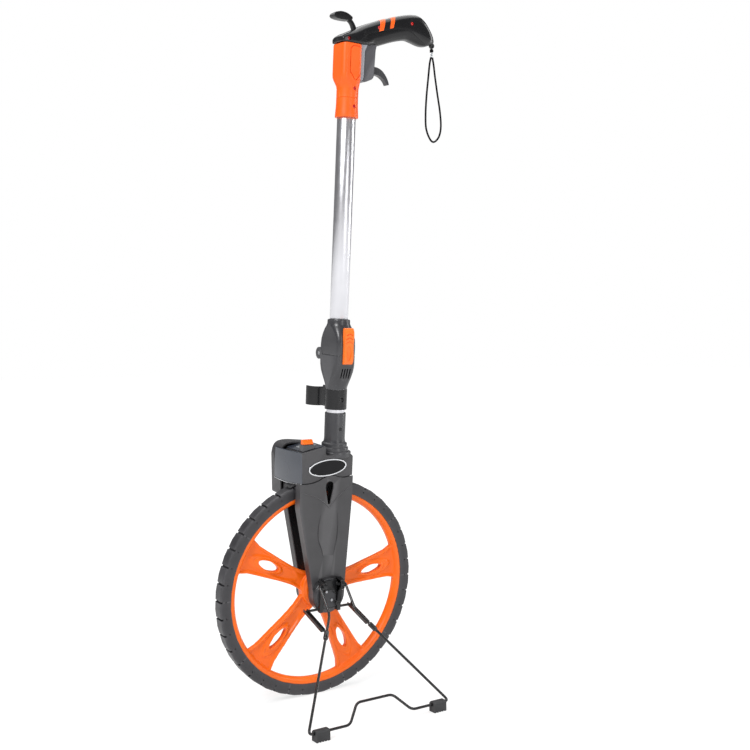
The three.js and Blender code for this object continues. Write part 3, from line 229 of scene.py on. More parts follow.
BLACK = surface("black_moulded", (0.006, 0.006, 0.007), 0.26, 0.04, 0.5, 0.15, 0.25, Specular_IOR_Level=0.35)
GRIP_TOP = surface("grip_top_gloss", (0.007, 0.007, 0.008), 0.20, 0.03, 0.5, 0.12, 0.3, spread=0.04,
                   Specular_IOR_Level=0.4)
TYRE = surface("tyre_rubber", (0.030, 0.029, 0.033), 0.44, 0.08, 0.6, 0.16, 0.5)
RUBBER = surface("foot_rubber", (0.022, 0.022, 0.024), 0.7, 0.12, 0.5, 0.15, 0.4)
BELT = surface("belt_rubber", (0.012, 0.012, 0.013), 0.65, 0.15, 0.6, 0.15)
BLACK_STEEL = surface("black_steel", (0.012, 0.012, 0.013), 0.26, 0.03, 0.8, 0.2, 0.35, Metallic=0.35,
                      Coat_Weight=0.3, Coat_Roughness=0.15)
STEEL = surface("zinc_steel", (0.52, 0.53, 0.55), 0.28, 0.03, 0.5, 0.08, 0.2, Metallic=1.0)
TUBE = drawn_metal("tube_aluminium", (0.66, 0.66, 0.69), 0.32, (1400, 1400, 18))
RIM_SILVER = surface("badge_rim", (0.70, 0.71, 0.73), 0.22, 0.0, 1.0, 0.04, Metallic=1.0)
BADGE_FIELD = surface("badge_field", (0.003, 0.003, 0.004), 0.30, 0.02, 0.8, 0.2, spread=0.03,
                      Specular_IOR_Level=0.2)
CLEAR = surface("clear_cover", (0.80, 0.83, 0.86), 0.07, 0.0, 1.0, 0.02, spread=0.02,
                Transmission_Weight=0.75, IOR=1.49)
# A lighter grey for the strip down the housing's front: a painted reflection of the light on that curved
# edge.
REFLECTION_BAND = surface("band_painted_reflection", (0.30, 0.31, 0.34), 0.34, 0.04, 0.5, 0.08, 0.3)
DRUM = surface("drum_white", (0.82, 0.82, 0.78), 0.45, 0.03, 0.4, 0.03)
SCREW_RED = surface("screw_red", (0.55, 0.010, 0.008), 0.3, 0.03, 0.4, 0.2, 0.2)


def strap_material():
    """Braided cord: two slanted waves cross over a black yarn."""
    material = surface("strap_cord", (0.004, 0.004, 0.005), 0.85, variation=0.2,
                       Specular_IOR_Level=0.12)
    tree = material.node_tree
    place = shader_node(tree, "TexCoord")
    both = shader_node(tree, "Math")
    both.operation = "MAXIMUM"
    for index, slant in enumerate((1, -1)):
        turn = shader_node(tree, "Mapping", Rotation=(0, slant * 0.7, slant * 0.5))
        link(tree, place, "Object", turn, "Vector")
        wave = shader_node(tree, "TexWave", Scale=260)
        wave.bands_direction = "Z"
        link(tree, turn, "Vector", wave, "Vector")
        tree.links.new(wave.outputs["Fac"], both.inputs[index])
    bump_from(tree, both, "Value", 0.35, 0.12)
    return material


STRAP = strap_material()


# ------------------------------------------------------------------ mesh helpers
def add_object(name, verts, faces, matrix=WORLD):
    mesh = bpy.data.meshes.new(name)
    mesh.from_pydata([matrix @ Vector(v) for v in verts], [], faces)
    work = bmesh.new()
    work.from_mesh(mesh)
    bmesh.ops.recalc_face_normals(work, faces=work.faces)
    work.to_mesh(mesh)
    work.free()
    obj = bpy.data.objects.new(name, mesh)
    bpy.context.scene.collection.objects.link(obj)
    return obj


def bake(obj):
    """Applies the object's modifiers to its mesh."""
    graph = bpy.context.evaluated_depsgraph_get()
    graph.update()
    mesh = bpy.data.meshes.new_from_object(obj.evaluated_get(graph))
    obj.modifiers.clear()
    obj.data = mesh
    return obj


def discard(obj):
    bpy.data.objects.remove(obj)


def merge(name, *objects):
    work = bmesh.new()
    for obj in objects:
        work.from_mesh(obj.data)
        discard(obj)
    mesh = bpy.data.meshes.new(name)
    work.to_mesh(mesh)
    work.free()
    obj = bpy.data.objects.new(name, mesh)
    bpy.context.scene.collection.objects.link(obj)
    return obj


def combine(obj, tools, operation):
    for tool in tools:
        step = obj.modifiers.new("boolean", "BOOLEAN")
        step.object = tool
        step.operation = operation
        step.solver = "EXACT"
        bake(obj)
        discard(tool)
    return obj


def cut(obj, *tools):
    return combine(obj, tools, "DIFFERENCE")


def union(obj, *tools):
    return combine(obj, tools, "UNION")


def smooth(obj, angle=38):
    mesh = obj.data
    mesh.polygons.foreach_set("use_smooth", [True] * len(mesh.polygons))
    mesh.set_sharp_from_angle(angle=math.radians(angle))
    return obj


def soften(obj, width, segments=3, angle=32):
    """Rounds every edge sharper than the angle."""
    work = bmesh.new()
    work.from_mesh(obj.data)
    bmesh.ops.remove_doubles(work, verts=work.verts, dist=1e-6)
    bmesh.ops.dissolve_limit(work, angle_limit=math.radians(0.8), verts=work.verts, edges=work.edges)
    work.to_mesh(obj.data)
    work.free()
    edge = obj.modifiers.new("edges", "BEVEL")
    edge.width = width * MM
    edge.segments = segments
    edge.limit_method = "ANGLE"
    edge.angle_limit = math.radians(angle)
    edge.use_clamp_overlap = True
    bake(obj)
    smooth(obj)
    return weigh_normals(obj)


def weigh_normals(obj):
    normals = obj.modifiers.new("normals", "WEIGHTED_NORMAL")
    normals.keep_sharp = True
    return obj


def mould(obj, voxel, passes):
    """Turns overlapping solids into one moulded body with filleted corners."""
    grid = obj.modifiers.new("grid", "REMESH")
    grid.mode = "VOXEL"
    grid.voxel_size = voxel * MM
    relax = obj.modifiers.new("relax", "SMOOTH")
    relax.factor = 0.5
    relax.iterations = passes
    bake(obj)
    return smooth(obj, 70)


PUT = {
    "y": lambda a, b, c: (a, c, b),
    "z": lambda a, b, c: (a, b, c),
    "x": lambda a, b, c: (c, a, b),
}


def prism(name, outline, low, high, axis="y", matrix=WORLD):
    """A solid with an outline in (x, z), (x, y) or (y, z) between two values of the third axis."""
    put = PUT[axis]
    count = len(outline)
    verts = [put(a, b, low) for a, b in outline] + [put(a, b, high) for a, b in outline]
    faces = [list(range(count)), list(range(count, 2 * count))]
    faces += [[i, (i + 1) % count, count + (i + 1) % count, count + i] for i in range(count)]
    return add_object(name, verts, faces, matrix)


def block(name, x, y, z, matrix=WORLD):
    return prism(name, [(x[0], y[0]), (x[1], y[0]), (x[1], y[1]), (x[0], y[1])], z[0], z[1], "z", matrix)


def lathe(name, profile, axis="y", at=(0, 0, 0), matrix=WORLD, segments=96, closed=True):
    """Profile points are (radius, height) and the height runs along the axis."""
    put = PUT[axis]
    rows = len(profile)
    verts = []
    for c, s in circle(segments):
        for radius, height in profile:
            x, y, z = put(radius * c, radius * s, height)
            verts.append((x + at[0], y + at[1], z + at[2]))
    faces = []
    for i in range(segments):
        here, there = i * rows, ((i + 1) % segments) * rows
        for k in range(rows if closed else rows - 1):
            j = (k + 1) % rows
            faces.append([here + k, here + j, there + j, there + k])
    if not closed:
        faces.append([i * rows for i in range(segments)])
        faces.append([i * rows + rows - 1 for i in range(segments)])
    return add_object(name, verts, faces, matrix)


def rod(name, radius, low, high, axis="y", at=(0, 0, 0), matrix=WORLD, segments=48):
    return lathe(name, [(radius, low), (radius, high)], axis, at, matrix, segments, closed=False)


def tube(name, path, radius, sides=16, matrix=WORLD, closed=False, squeeze=None):
    """A round bar swept along a path without twisting."""
    path = [Vector(p) for p in path]
    count = len(path)
    verts, faces = [], []
    normal = None
    for i, point in enumerate(path):
        before = path[i - 1] if i or closed else path[i]
        after = path[(i + 1) % count] if i < count - 1 or closed else path[i]
        along = (after - before).normalized()
        if normal is None:
            normal = along.orthogonal().normalized()
        normal = (normal - along * normal.dot(along)).normalized()
        other = along.cross(normal)
        size = radius if squeeze is None else radius * squeeze(i / (count - 1))
        verts += [point + size * (c * normal + s * other) for c, s in circle(sides)]
    for i in range(count if closed else count - 1):
        here, there = i * sides, ((i + 1) % count) * sides
        for k in range(sides):
            j = (k + 1) % sides
            faces.append([here + k, here + j, there + j, there + k])
    if not closed:
        faces.append(list(range(sides)))
        faces.append(list(range((count - 1) * sides, count * sides)))
    return add_object(name, verts, faces, matrix)


def circle(count):
    """Cosine and sine at even steps of one turn."""
    return [(math.cos(2 * math.pi * k / count), math.sin(2 * math.pi * k / count)) for k in range(count)]


def slab_faces(rows, columns):
    """Faces of two grids of points, one behind the other, closed round their border."""
    stride = columns + 1
    layer = (rows + 1) * stride
    faces = []
    for base in (0, layer):
        for a in range(rows):
            for b in range(columns):
                k = base + a * stride + b
                faces.append([k, k + 1, k + stride + 1, k + stride])
    border = list(range(columns)) + [a * stride + columns for a in range(rows)]
    border += [rows * stride + b for b in range(columns, 0, -1)] + [a * stride for a in range(rows, 0, -1)]
    for k, near in enumerate(border):
        after = border[(k + 1) % len(border)]
        faces.append([near, after, layer + after, layer + near])
    return faces


def loft(name, sections, matrix):
    rows = len(sections[0])
    verts = [p for section in sections for p in section]
    faces = []
    for a in range(len(sections) - 1):
        for k in range(rows):
            j = (k + 1) % rows
            faces.append([a * rows + k, a * rows + j, (a + 1) * rows + j, (a + 1) * rows + k])
    faces.append(list(range(rows)))
    faces.append(list(range(len(verts) - rows, len(verts))))
    return add_object(name, verts, faces, matrix)


def spline(points, steps):
    """Catmull-Rom curve through the points."""
    points = [Vector(p) for p in points]
    ends = [2 * points[0] - points[1], *points, 2 * points[-1] - points[-2]]
    curve = []
    for a, b, c, d in zip(ends, ends[1:], ends[2:], ends[3:]):
        for k in range(steps):
            t = k / steps
            curve.append(0.5 * (2 * b + (c - a) * t + (2 * a - 5 * b + 4 * c - d) * t ** 2
                                + (3 * b - a - 3 * c + d) * t ** 3))
    curve.append(points[-1])
    return curve


def flat_spline(points, steps):
    return [(p.x, p.y) for p in spline(points, steps)]


def arc(centre, radius, start, end, count):
    return [(centre[0] + radius * math.cos(math.radians(start + (end - start) * i / count)),
             centre[1] + radius * math.sin(math.radians(start + (end - start) * i / count)))
            for i in range(count + 1)]


def bend(corner, before, after, reach, steps):
    """Points of a curve that cuts a corner off."""
    start = corner + before.normalized() * reach
    end = corner + after.normalized() * reach
    return [start * (1 - t) ** 2 + corner * 2 * t * (1 - t) + end * t ** 2
            for t in [k / steps for k in range(steps + 1)]]


def rounded(outline, radius, steps=5):
    """The outline with each corner turned into a curve."""
    result = []
    count = len(outline)
    for i in range(count):
        corner = Vector(outline[i])
        before = Vector(outline[i - 1]) - corner
        after = Vector(outline[(i + 1) % count]) - corner
        reach = min(radius, before.length * 0.45, after.length * 0.45)
        result += bend(corner, before, after, reach, steps)
    return [(p.x, p.y) for p in result]


def inset(outline, distance):
    """The outline moved inwards, corner by corner."""
    ring = [Vector(p) for p in outline]
    area = sum(a.x * b.y - b.x * a.y for a, b in zip(ring, ring[1:] + ring[:1]))
    side = 1 if area > 0 else -1
    result = []
    for i, corner in enumerate(ring):
        first = (corner - ring[i - 1]).normalized()
        second = (ring[(i + 1) % len(ring)] - corner).normalized()
        inward = Vector((-first.y, first.x)) * side + Vector((-second.y, second.x)) * side
        inward.normalize()
        lean = max(0.4, inward.dot(Vector((-first.y, first.x)) * side))
        result.append(corner + inward * distance / lean)
    return [(p.x, p.y) for p in result]


def piece(obj, body, slot, materials, *replaced):
    materials = materials if isinstance(materials, list) else [materials]
    obj.data.materials.clear()
    for material in materials:
        obj.data.materials.append(material)
    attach(obj, body)
    if replaced:
        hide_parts(*replaced)
    return obj


def repaint(material, *names):
    for name in names:
        data = nodes[name].data
        data.materials.clear()
        data.materials.append(material)


make_camera()
make_light()


FLOOR_HALF = 30
FLOOR_DROP = 0.0004
FLOOR_GLOW = 0.72


def floor_material():
    """A pale floor that grows lighter with its distance from the object, so no horizon shows."""
    material = surface("pale_floor", (0.34, 0.34, 0.34), 0.8, variation=0.005,
                       Emission_Color=(1, 1, 1, 1), Emission_Strength=FLOOR_GLOW)
    tree = material.node_tree
    place = shader_node(tree, "TexCoord")
    distance = shader_node(tree, "VectorMath")
    distance.operation = "LENGTH"
    link(tree, place, "Object", distance, "Vector")
    glow = shader_node(tree, "MapRange", From_Min=0.5, From_Max=2.5, To_Min=FLOOR_GLOW, To_Max=0.99)
    link(tree, distance, "Value", glow, "Value")
    link(tree, glow, "Result", tree.nodes["Principled BSDF"], "Emission Strength")
    return material


floor = add_object("floor", [(-FLOOR_HALF, -FLOOR_HALF, 0), (FLOOR_HALF, -FLOOR_HALF, 0),
                             (FLOOR_HALF, FLOOR_HALF, 0), (-FLOOR_HALF, FLOOR_HALF, 0)], [[0, 1, 2, 3]],
                   Matrix.Translation((0, 0, cad_bounds[0][2] - FLOOR_DROP)))
floor.data.materials.append(floor_material())


# ------------------------------------------------------------------ wrist strap
LUG = WORLD @ Vector((POLE_X + 174, 0, 965.4))
STRAP_DROPS = [
    (-1.7, 0, -20), (-4.5, 0.5, -33), (-7.5, 1, -58), (-11, 2, -90), (-13.5, 2, -122), (-13, 1.5, -148),
    (-5, 1, -166), (4, 1, -170), (14.5, 0.5, -160), (19, 0, -142), (17.5, 0, -116), (12, 0, -84),
    (7, 0, -53), (4.3, 0, -33), (1.7, 0, -20),
]
STRAP_TOP = -20.4  # the loop leaves the sleeve here, below the lug
STRAP_RADIUS = 1.7


def make_strap():
    hang = Matrix.Translation(LUG) @ Matrix.Scale(MM, 4)
    route = spline([(x, y, z + STRAP_TOP - STRAP_DROPS[0][2]) for x, y, z in STRAP_DROPS], 12)
    loop = piece(tube("strap_loop", route, STRAP_RADIUS, 14, hang), "upper_pole", "strap_cord", STRAP,
                 "wrist_strap")
    smooth(loop, 60)
    turns = 2.5
    coil = []
    for i in range(72):
        t = i / 71
        angle = 2 * math.pi * turns * t
        coil.append((2.1 * math.cos(angle), 2.1 * math.sin(angle), -5.9 - 4.6 * t))
    knot = merge("knot_turns", tube("turns", coil, 1.3, 12, hang),
                 lathe("core", [(0.6, -4.9), (2.4, -6), (2.8, -8.2), (2.4, -10.4), (0.6, -11.6)], "z",
                       matrix=hang, segments=32, closed=False),
                 tube("lug_loop", [(1.5 * c, 0, -3.2 + 2.9 * s) for c, s in circle(24)], 0.7, 10, hang,
                      closed=True))
    piece(smooth(knot, 60), "upper_pole", "strap_cord", STRAP, "strap_knot")
    sleeve = lathe("strap_ferrule", [(1.5, -20.1), (1.9, -19.8), (1.9, -12.4), (1.5, -12.1), (0.5, -12.1),
                                     (0.5, -20.1)], "z", matrix=hang, segments=32)
    piece(smooth(sleeve), "upper_pole", "clear_plastic", CLEAR, "strap_sleeve")


make_strap()


# ------------------------------------------------------------------ wheel
TYRE_R, NOTCHES = 194, 40
RIM_R, RIM_INNER = 173.7, 163.2


def make_tyre():
    full = [(174, -10.2), (176, -10.6), (184, -11.1), (190, -11.5), (191.8, -11.3), (193.2, -10.5),
            (193.9, -9.2), (194, -8), (194, -4), (194, 0), (194, 4), (194, 8), (193.9, 9.2), (193.2, 10.5),
            (191.8, 11.3), (190, 11.5), (184, 11.1), (176, 10.6), (174, 10.2)]
    low = [(min(r, 190.3), y) for r, y in full]
    eased = [(r - 0.45 if r > 191 else r, y) for r, y in full]
    pitch = 360 / NOTCHES
    half = math.degrees(1.6 / TYRE_R)
    turns = [(half, low), (half, eased), (half + 0.14, full), (2.2, full), (4.5, full), (pitch - 2.2, full),
             (pitch - half - 0.14, full), (pitch - half, eased), (pitch - half, low), (pitch, low)]
    verts, faces = [], []
    rows = len(full)
    for i in range(NOTCHES):
        for turn, profile in turns:
            angle = math.radians(i * pitch + turn)
            flat = math.cos(math.radians(pitch / 2)) / math.cos(math.radians(min(turn, pitch - turn)))
            verts += [(r * flat * math.cos(angle), y, r * flat * math.sin(angle)) for r, y in profile]
    rings = NOTCHES * len(turns)
    for i in range(rings):
        here, there = i * rows, ((i + 1) % rings) * rows
        faces += [[here + k, here + (k + 1) % rows, there + (k + 1) % rows, there + k] for k in range(rows)]
    tyre = add_object("tyre_segmented", verts, faces)
    dimples = []
    for i in range(NOTCHES):
        angle = math.radians(i * pitch)
        at = (183.5 * math.cos(angle), 0, 183.5 * math.sin(angle))
        for side in (-1, 1):
            ends = sorted((side * 9.6, side * 13))
            dimples.append(rod("dimple", 1.3, ends[0], ends[1], "y", at, segments=10))
    cut(tyre, merge("dimples", *dimples))
    piece(smooth(tyre, 30), "wheel", "tyre_rubber", TYRE, "tyre")


SPOKE_HALF = [(20, 19), (30, 17.5), (40, 16), (52, 15), (66, 15.5), (82, 17), (98, 19), (113, 21), (130, 23),
              (146, 25.4), (158, 30), (170, 35)]


def ease(value, low, high):
    t = min(1, max(0, (value - low) / (high - low)))
    return t * t * (3 - 2 * t)


def spoke_half_width(radius):
    for (r0, w0), (r1, w1) in zip(SPOKE_HALF, SPOKE_HALF[1:]):
        if radius <= r1:
            return w0 + (w1 - w0) * (radius - r0) / (r1 - r0)
    return SPOKE_HALF[-1][1]


def spoke_height(radius, across, half):
    """Half thickness: a dished field inside thick edges, a teardrop ridge and a collar round the eye."""
    edge = half - abs(across)
    height = 4.9 - 3.0 * ease(edge, 3.0, 6.0)
    centre = 104
    long = 46 if radius > centre else 62
    wide = 13.5
    drop = math.hypot((radius - centre) / long, across / wide)
    height += 2.6 * ease(drop, 0.82, 0.95) * (1 - ease(drop, 1.0, 1.16)) * ease(radius, 44, 60)
    collar = math.hypot((radius - 113) / 22, across / 8)
    height += 4.0 * (1 - ease(collar, 1.12, 1.5))
    return min(6.2, height)


def make_rim():
    hoop = lathe("hoop", [(168.2, -10), (RIM_R, -10), (RIM_R, 10), (168.2, 10), (166.6, 8.4), (164.8, 6),
                          (RIM_INNER, 3), (RIM_INNER, -3), (164.8, -6), (166.6, -8.4)], segments=320)
    hub = lathe("hub", [(11.4, -11.4), (28, -11.4), (30, -9.8), (33.4, -8.6), (35, -6.4), (35, 6.4),
                        (33.4, 8.6), (30, 9.8), (28, 11.4), (11.4, 11.4)], segments=120)
    solids = [hoop, hub]
    for i in range(5):
        turn = Matrix.Rotation(-math.radians(9.5 + 72 * i), 4, "Y")
        rows, columns = 74, 33
        verts = []
        for side in (-1, 1):
            for a in range(rows + 1):
                radius = 20 + 148 * a / rows
                half = spoke_half_width(radius)
                for b in range(columns + 1):
                    across = half * (2 * b / columns - 1)
                    verts.append((radius, side * spoke_height(radius, across, half), across))
        spoke = add_object("spoke", verts, slab_faces(rows, columns), WORLD @ turn)
        eye = [(113 + 22 * c, 8 * s * (1 - 0.18 * abs(c))) for c, s in circle(40)]
        solids.append(cut(spoke, prism("eye", eye, -12, 12, "y", WORLD @ turn)))
    rim = mould(merge("wheel_spoked", *solids), 1.05, 5)
    piece(rim, "wheel", "orange_plastic", ORANGE, "wheel_rim")


make_tyre()
make_rim()


# ------------------------------------------------------------------ fork legs
SEAM = [(-59, 193.2), (-46, 192.6), (-34, 193.4), (-22, 196.6), (-11, 201.6), (0, 204.6), (9, 203.8),
        (19, 200.6), (30, 199.2), (40, 200.4), (47, 201.6)]


def seam_curve():
    return flat_spline(SEAM, 5)


def leg_outline(top_line):
    foot = arc((6, -8), 32, 180, 360, 24)
    side = [(-59, 149), (-26, 0)]
    rear = [(38, 5), (47, 165)]
    return top_line + side + foot + rear


def leg_cover(name, side, top_line):
    outline = leg_outline(top_line)
    low, high = sorted((side * 14.5, side * 30))
    body = prism(name, outline, low, high)
    inner = inset(leg_outline([(47, 230), (-59, 230)]), 2.6)
    low, high = sorted((side * 10, side * 27.4))
    return cut(body, prism("hollow", inner, low, high))


def make_near_leg():
    top = list(reversed(seam_curve()))
    cover = leg_cover("leg_cover_front", -1, top)
    # Above the frame only the outer wall goes on, in front of the counter box.
    cut(cover, block("step", (-80, 80), (-27.6, 0), (193.2, 240)))
    window = [(-2.2, 154.5), (2.2, 154.5)] + [(8, 183)] + arc((0, 187), 8, 0, 180, 20) + [(-8, 183)]
    lines = []
    for path in ([(-17, 136), (-20.5, 112), (-19, 92), (-12, 74), (-8, 60)],
                 [(17, 140), (19, 116), (18, 94), (14.5, 76), (12, 62)]):
        curve = spline([(x, -30.1, z) for x, z in path], 8)
        lines.append(tube("line", curve, 1.3, 10, squeeze=lambda t: 0.35 + 0.65 * math.sin(math.pi * t)))
    slot_arch = arc((4, -7), 34.5, 22, 158, 26) + list(reversed(arc((4, -7), 30.2, 22, 158, 26)))
    cut(cover, prism("window", window, -33, -12), *lines, prism("arch", slot_arch, -33, -28.4))
    soften(cover, 0.8, 3)
    beads = []
    for path in ([(0, 148.5), (-9, 157.5), (-22, 166), (-38, 173), (-55, 178.5)],
                 [(0, 148.5), (9, 158.5), (20, 168), (32, 176.5), (44, 183)]):
        curve = spline([(x, -29.9, z) for x, z in path], 8)
        beads.append(tube("bead", curve, 1.15, 10, squeeze=lambda t: 1 - 0.45 * t))
    cover = merge("leg_cover_near", cover, *beads)
    piece(weigh_normals(cover), "fork", "charcoal_plastic", CHARCOAL, "near_leg_cover")


def make_far_leg():
    cover = leg_cover("leg_cover_far", 1, [(47, 193), (-59, 193)])
    boss = lathe("boss", [(4.4, 27), (9, 27), (9, 26), (9.5, 25.4), (9.5, 24.5), (4.4, 24.5)], segments=48)
    cut(cover, rod("bore", 4.3, 10, 34))
    soften(cover, 0.9, 3)
    ribs = []
    for x0, z0, x1, z1 in ((-34, 150, -8, 30), (30, 150, 22, 40)):
        centre = ((x0 + x1) / 2, 30.1, (z0 + z1) / 2)
        ribs.append(tube("rib", [(x0, 29.8, z0), centre, (x1, 29.8, z1)], 0.9, 10))
    cover = merge("leg_cover_rear", cover, boss, *ribs)
    piece(weigh_normals(cover), "fork", "charcoal_plastic", CHARCOAL, "far_leg_cover")


PIVOT_Y, PIVOT_Z = -45, 14  # where the stand's wire turns
BRACE_PIVOT = (-34, -30)


def make_bracket():
    at = (4, 0, -8)
    plate = lathe("plate", [(0.1, -36), (24.5, -36), (26.6, -35), (27.4, -33.6), (29, -33.2), (29.6, -32.4),
                            (29.6, -30.4), (0.1, -30.4)], "y", at, segments=96, closed=False)
    cut(plate, block("trim", (-60, 60), (-60, 0), (24.5, 60)),
        rod("screw_hole", 2.9, -60, 0, "y", (-2, 0, 0)), rod("screw_hole", 2.9, -60, 0, "y", (9, 0, -16)))
    piece(soften(plate, 0.6, 3), "fork", "charcoal_plastic", GREY)
    arms = []
    side_view = [(-33, 22), (-45, 20.5)] + arc((PIVOT_Y, PIVOT_Z), 6.5, 100, 270, 10)
    side_view += [(-40, -24), (-40, -35), (-33, -34)]
    for side in (-1, 1):
        low, high = sorted((4 + side * 14, 4 + side * 21.3))
        lug = prism("lug", side_view, low, high, "x")
        cut(lug, rod("bore", 2.6, -60, 60, "x", (0, PIVOT_Y, PIVOT_Z)),
            rod("bore", 2.6, -60, 60, "x", (0, *BRACE_PIVOT)))
        arms.append(soften(lug, 0.9, 3))
    block_side = rounded([(-50, 6), (-50, 21), (-36, 24), (-33, 24), (-33, -20), (-38, -20), (-41, 0)], 3)
    arms.append(soften(prism("pivot", block_side, 18, 26.6, "x"), 0.9, 3))
    arms.append(soften(prism("pivot", block_side, -13.5, -11, "x"), 0.9, 3))
    arms.append(lathe("bolt", [(0.1, -41), (3.2, -41), (4.4, -40), (4.4, -37), (5.4, -36.6), (5.4, -35.4),
                               (0.1, -35.4)], "y", (19, 0, -21), segments=40, closed=False))
    bridge = prism("bridge", rounded([(-12, 20.5), (20, 20.5), (25, 12), (24, -4), (16, -8), (13, 2), (-5, 2),
                                      (-8, -10), (-17, -6), (-17, 12)], 4), -37.4, -35.6)
    arms.append(soften(bridge, 0.6, 2))
    for x, z in ((13, -1), (-9, 12), (19, 13)):
        arms.append(lathe("rivet", [(0.1, -39), (1.9, -39), (2.7, -38.4), (3, -37.3), (0.1, -37.3)], "y",
                          (x, 0, z), segments=32, closed=False))
    bracket = smooth(merge("bracket_arms", *arms), 40)
    piece(bracket, "fork", "black_plastic", BLACK, "stand_bracket")


def screw_head(name, at, axis_low, radius, material, body, slot, *replaced, cross=True, matrix=WORLD):
    """A pan head with a cross recess, facing the near side."""
    x, z = at
    head = lathe(name, [(0.1, axis_low), (radius * 0.6, axis_low), (radius * 0.9, axis_low + 0.3),
                        (radius, axis_low + 0.8), (radius, axis_low + 2.2), (0.1, axis_low + 2.2)], "y",
                 (x, 0, z), matrix, 40, closed=False)
    if cross:
        reach, wide = radius * 0.62, radius * 0.16
        depth = (axis_low - 1, axis_low + 0.9)
        cut(head, block("a", (x - reach, x + reach), depth, (z - wide, z + wide), matrix),
            block("b", (x - wide, x + wide), depth, (z - reach, z + reach), matrix))
    piece(smooth(head, 30), body, slot, material, *replaced)


make_near_leg()
make_far_leg()
make_bracket()
screw_head("bracket_screw_upper", (-2, 0), -37, 2.6, STEEL, "fork", "bright_steel", "bracket_screw_1")
screw_head("bracket_screw_lower", (9, -16), -37, 2.6, STEEL, "fork", "bright_steel", "bracket_screw_2")


# ------------------------------------------------------------------ counter box
def make_counter_cover():
    lower = [(x, z + 0.7) for x, z in seam_curve() if x > -56]
    top = [(47, 236), (43, 240), (-6, 240), (-9, 243), (-9, 256), (-56.4, 247)]
    cover = prism("counter_face", lower + top, -28, -25.4)
    piece(soften(cover, 0.8, 3), "fork", "charcoal_plastic", CHARCOAL, "counter_cover")


def make_housing():
    side = [(-56.2, 203.9), (46.8, 203.9), (46.8, 236), (42.8, 240), (-6, 240), (-9, 243), (-9, 256),
            (-56.2, 247)]
    body = prism("shell", side, -25.1, 28.8)
    cut(body, prism("hollow", inset(side, 2.6), -40, 26.2),
        block("floor", (-49, 44), (-40, 26.2), (196, 212)),
        rod("pole_hole", 20.4, 203, 260, "z", (POLE_X, 0, 0), segments=72),
        block("brake_gap", (-70, -50.6), (-12, 12), (196, 215.5)),
        block("window", (-44, -15), (-9, 17), (238, 262)),
        rod("shaft_hole", 2.4, 20, 40, "y", (-25, 0, 234)))
    piece(soften(body, 1.0, 3), "fork", "charcoal_plastic", GREY, "counter_housing")
    # The glossy lid frames the counter's clear window.
    tilt = Matrix.Translation((-32.7, 0, 251.7)) @ Matrix.Rotation(-math.atan2(9, 47.2), 4, "Y")
    roof = WORLD @ tilt
    plate = rounded([(-21.5, 31), (-21.5, -24), (21.5, -24), (21.5, 31)], 4)
    lid = prism("lid", plate, 0.2, 1.7, "z", roof)
    opening = rounded([(-12, -8), (18, -8), (18, 16), (-12, 16)], 2)
    cut(lid, prism("lid_window", opening, -5, 5, "z", roof),
        block("button_gap", (-22, 4), (-30, -9.5), (-4, 4), roof))
    piece(soften(lid, 0.5, 3), "fork", "nose_gloss", NOSE)
    glass = rounded([(-11.6, -7.6), (17.6, -7.6), (17.6, 15.6), (-11.6, 15.6)], 2)
    pane = prism("counter_pane", glass, 0.5, 1.9, "z", roof)
    piece(soften(pane, 0.3, 2), "fork", "clear_plastic", CLEAR, "counter_window")


def make_nose():
    """The glossy front panel: a thick skin that bulges in plan and in height."""
    rows, columns = 20, 32
    z0, z1 = 193.6, 247

    def plan(t, offset):
        start, mid, end = (-56.7 - offset, -27.5), (-66 - offset, 10), (-66.6 - offset, 50.2)
        return tuple(start[k] * (1 - t) ** 2 + mid[k] * 2 * t * (1 - t) + end[k] * t ** 2 for k in (0, 1))

    verts = []
    for offset in (0, -2.6):
        for a in range(rows + 1):
            share = a / rows
            belly = 1.0 * math.sin(math.pi * share)
            for b in range(columns + 1):
                x, y = plan(b / columns, offset)
                drop = 2.2 * math.sin(math.pi * b / columns) * (1 - share)
                verts.append((x - belly + 1.0, y, z0 - drop + (z1 - z0) * share))
    nose = add_object("nose_skin", verts, slab_faces(rows, columns))
    piece(soften(nose, 0.9, 3, 50), "fork", "nose_gloss", NOSE, "nose_panel")
    trim = tube("nose_trim", [(plan(t / 24, 0)[0] + 0.6, plan(t / 24, 0)[1] * 0.98,
                               z0 - 0.2 - 2.2 * math.sin(math.pi * t / 24)) for t in range(25)], 0.8, 12)
    piece(smooth(trim), "fork", "bright_steel", RIM_SILVER)


def make_drive_cover():
    outline = [(-63, 164), (-12, 164), (4, 188), (4, 253), (-35, 257)]
    outline += flat_spline([(-46, 257), (-57, 254.5), (-64, 247), (-67, 235)], 5) + [(-67, 232)]
    outer = rounded(outline, 5, 4)
    cover = prism("drive", outer, 30.3, 62)
    cut(cover, prism("hollow", inset(outer, 2.6), 20, 59.4),
        block("relief", (-80, -56.1), (20, 50.5), (191, 247.5)))
    piece(soften(cover, 3.2, 5, 50), "fork", "charcoal_plastic", CHARCOAL, "drive_cover")


def make_badge():
    tilt = Matrix.Translation((-5, -28.3, 219)) @ Matrix.Rotation(-math.radians(4.6), 4, "Y")
    oval = circle(96)
    rim = prism("badge_rim", [(38 * x, 14.5 * z) for x, z in oval], -1.6, 0, "y", WORLD @ tilt)
    cut(rim, prism("well", [(35.7 * x, 12.4 * z) for x, z in oval], -3, -0.9, "y", WORLD @ tilt))
    piece(soften(rim, 0.4, 3), "fork", "badge_face", RIM_SILVER, "badge")
    field = prism("badge_plate", [(35.4 * x, 12.1 * z) for x, z in oval], -1.35, -0.88, "y", WORLD @ tilt)
    piece(soften(field, 0.2, 2), "fork", "badge_face", BADGE_FIELD)


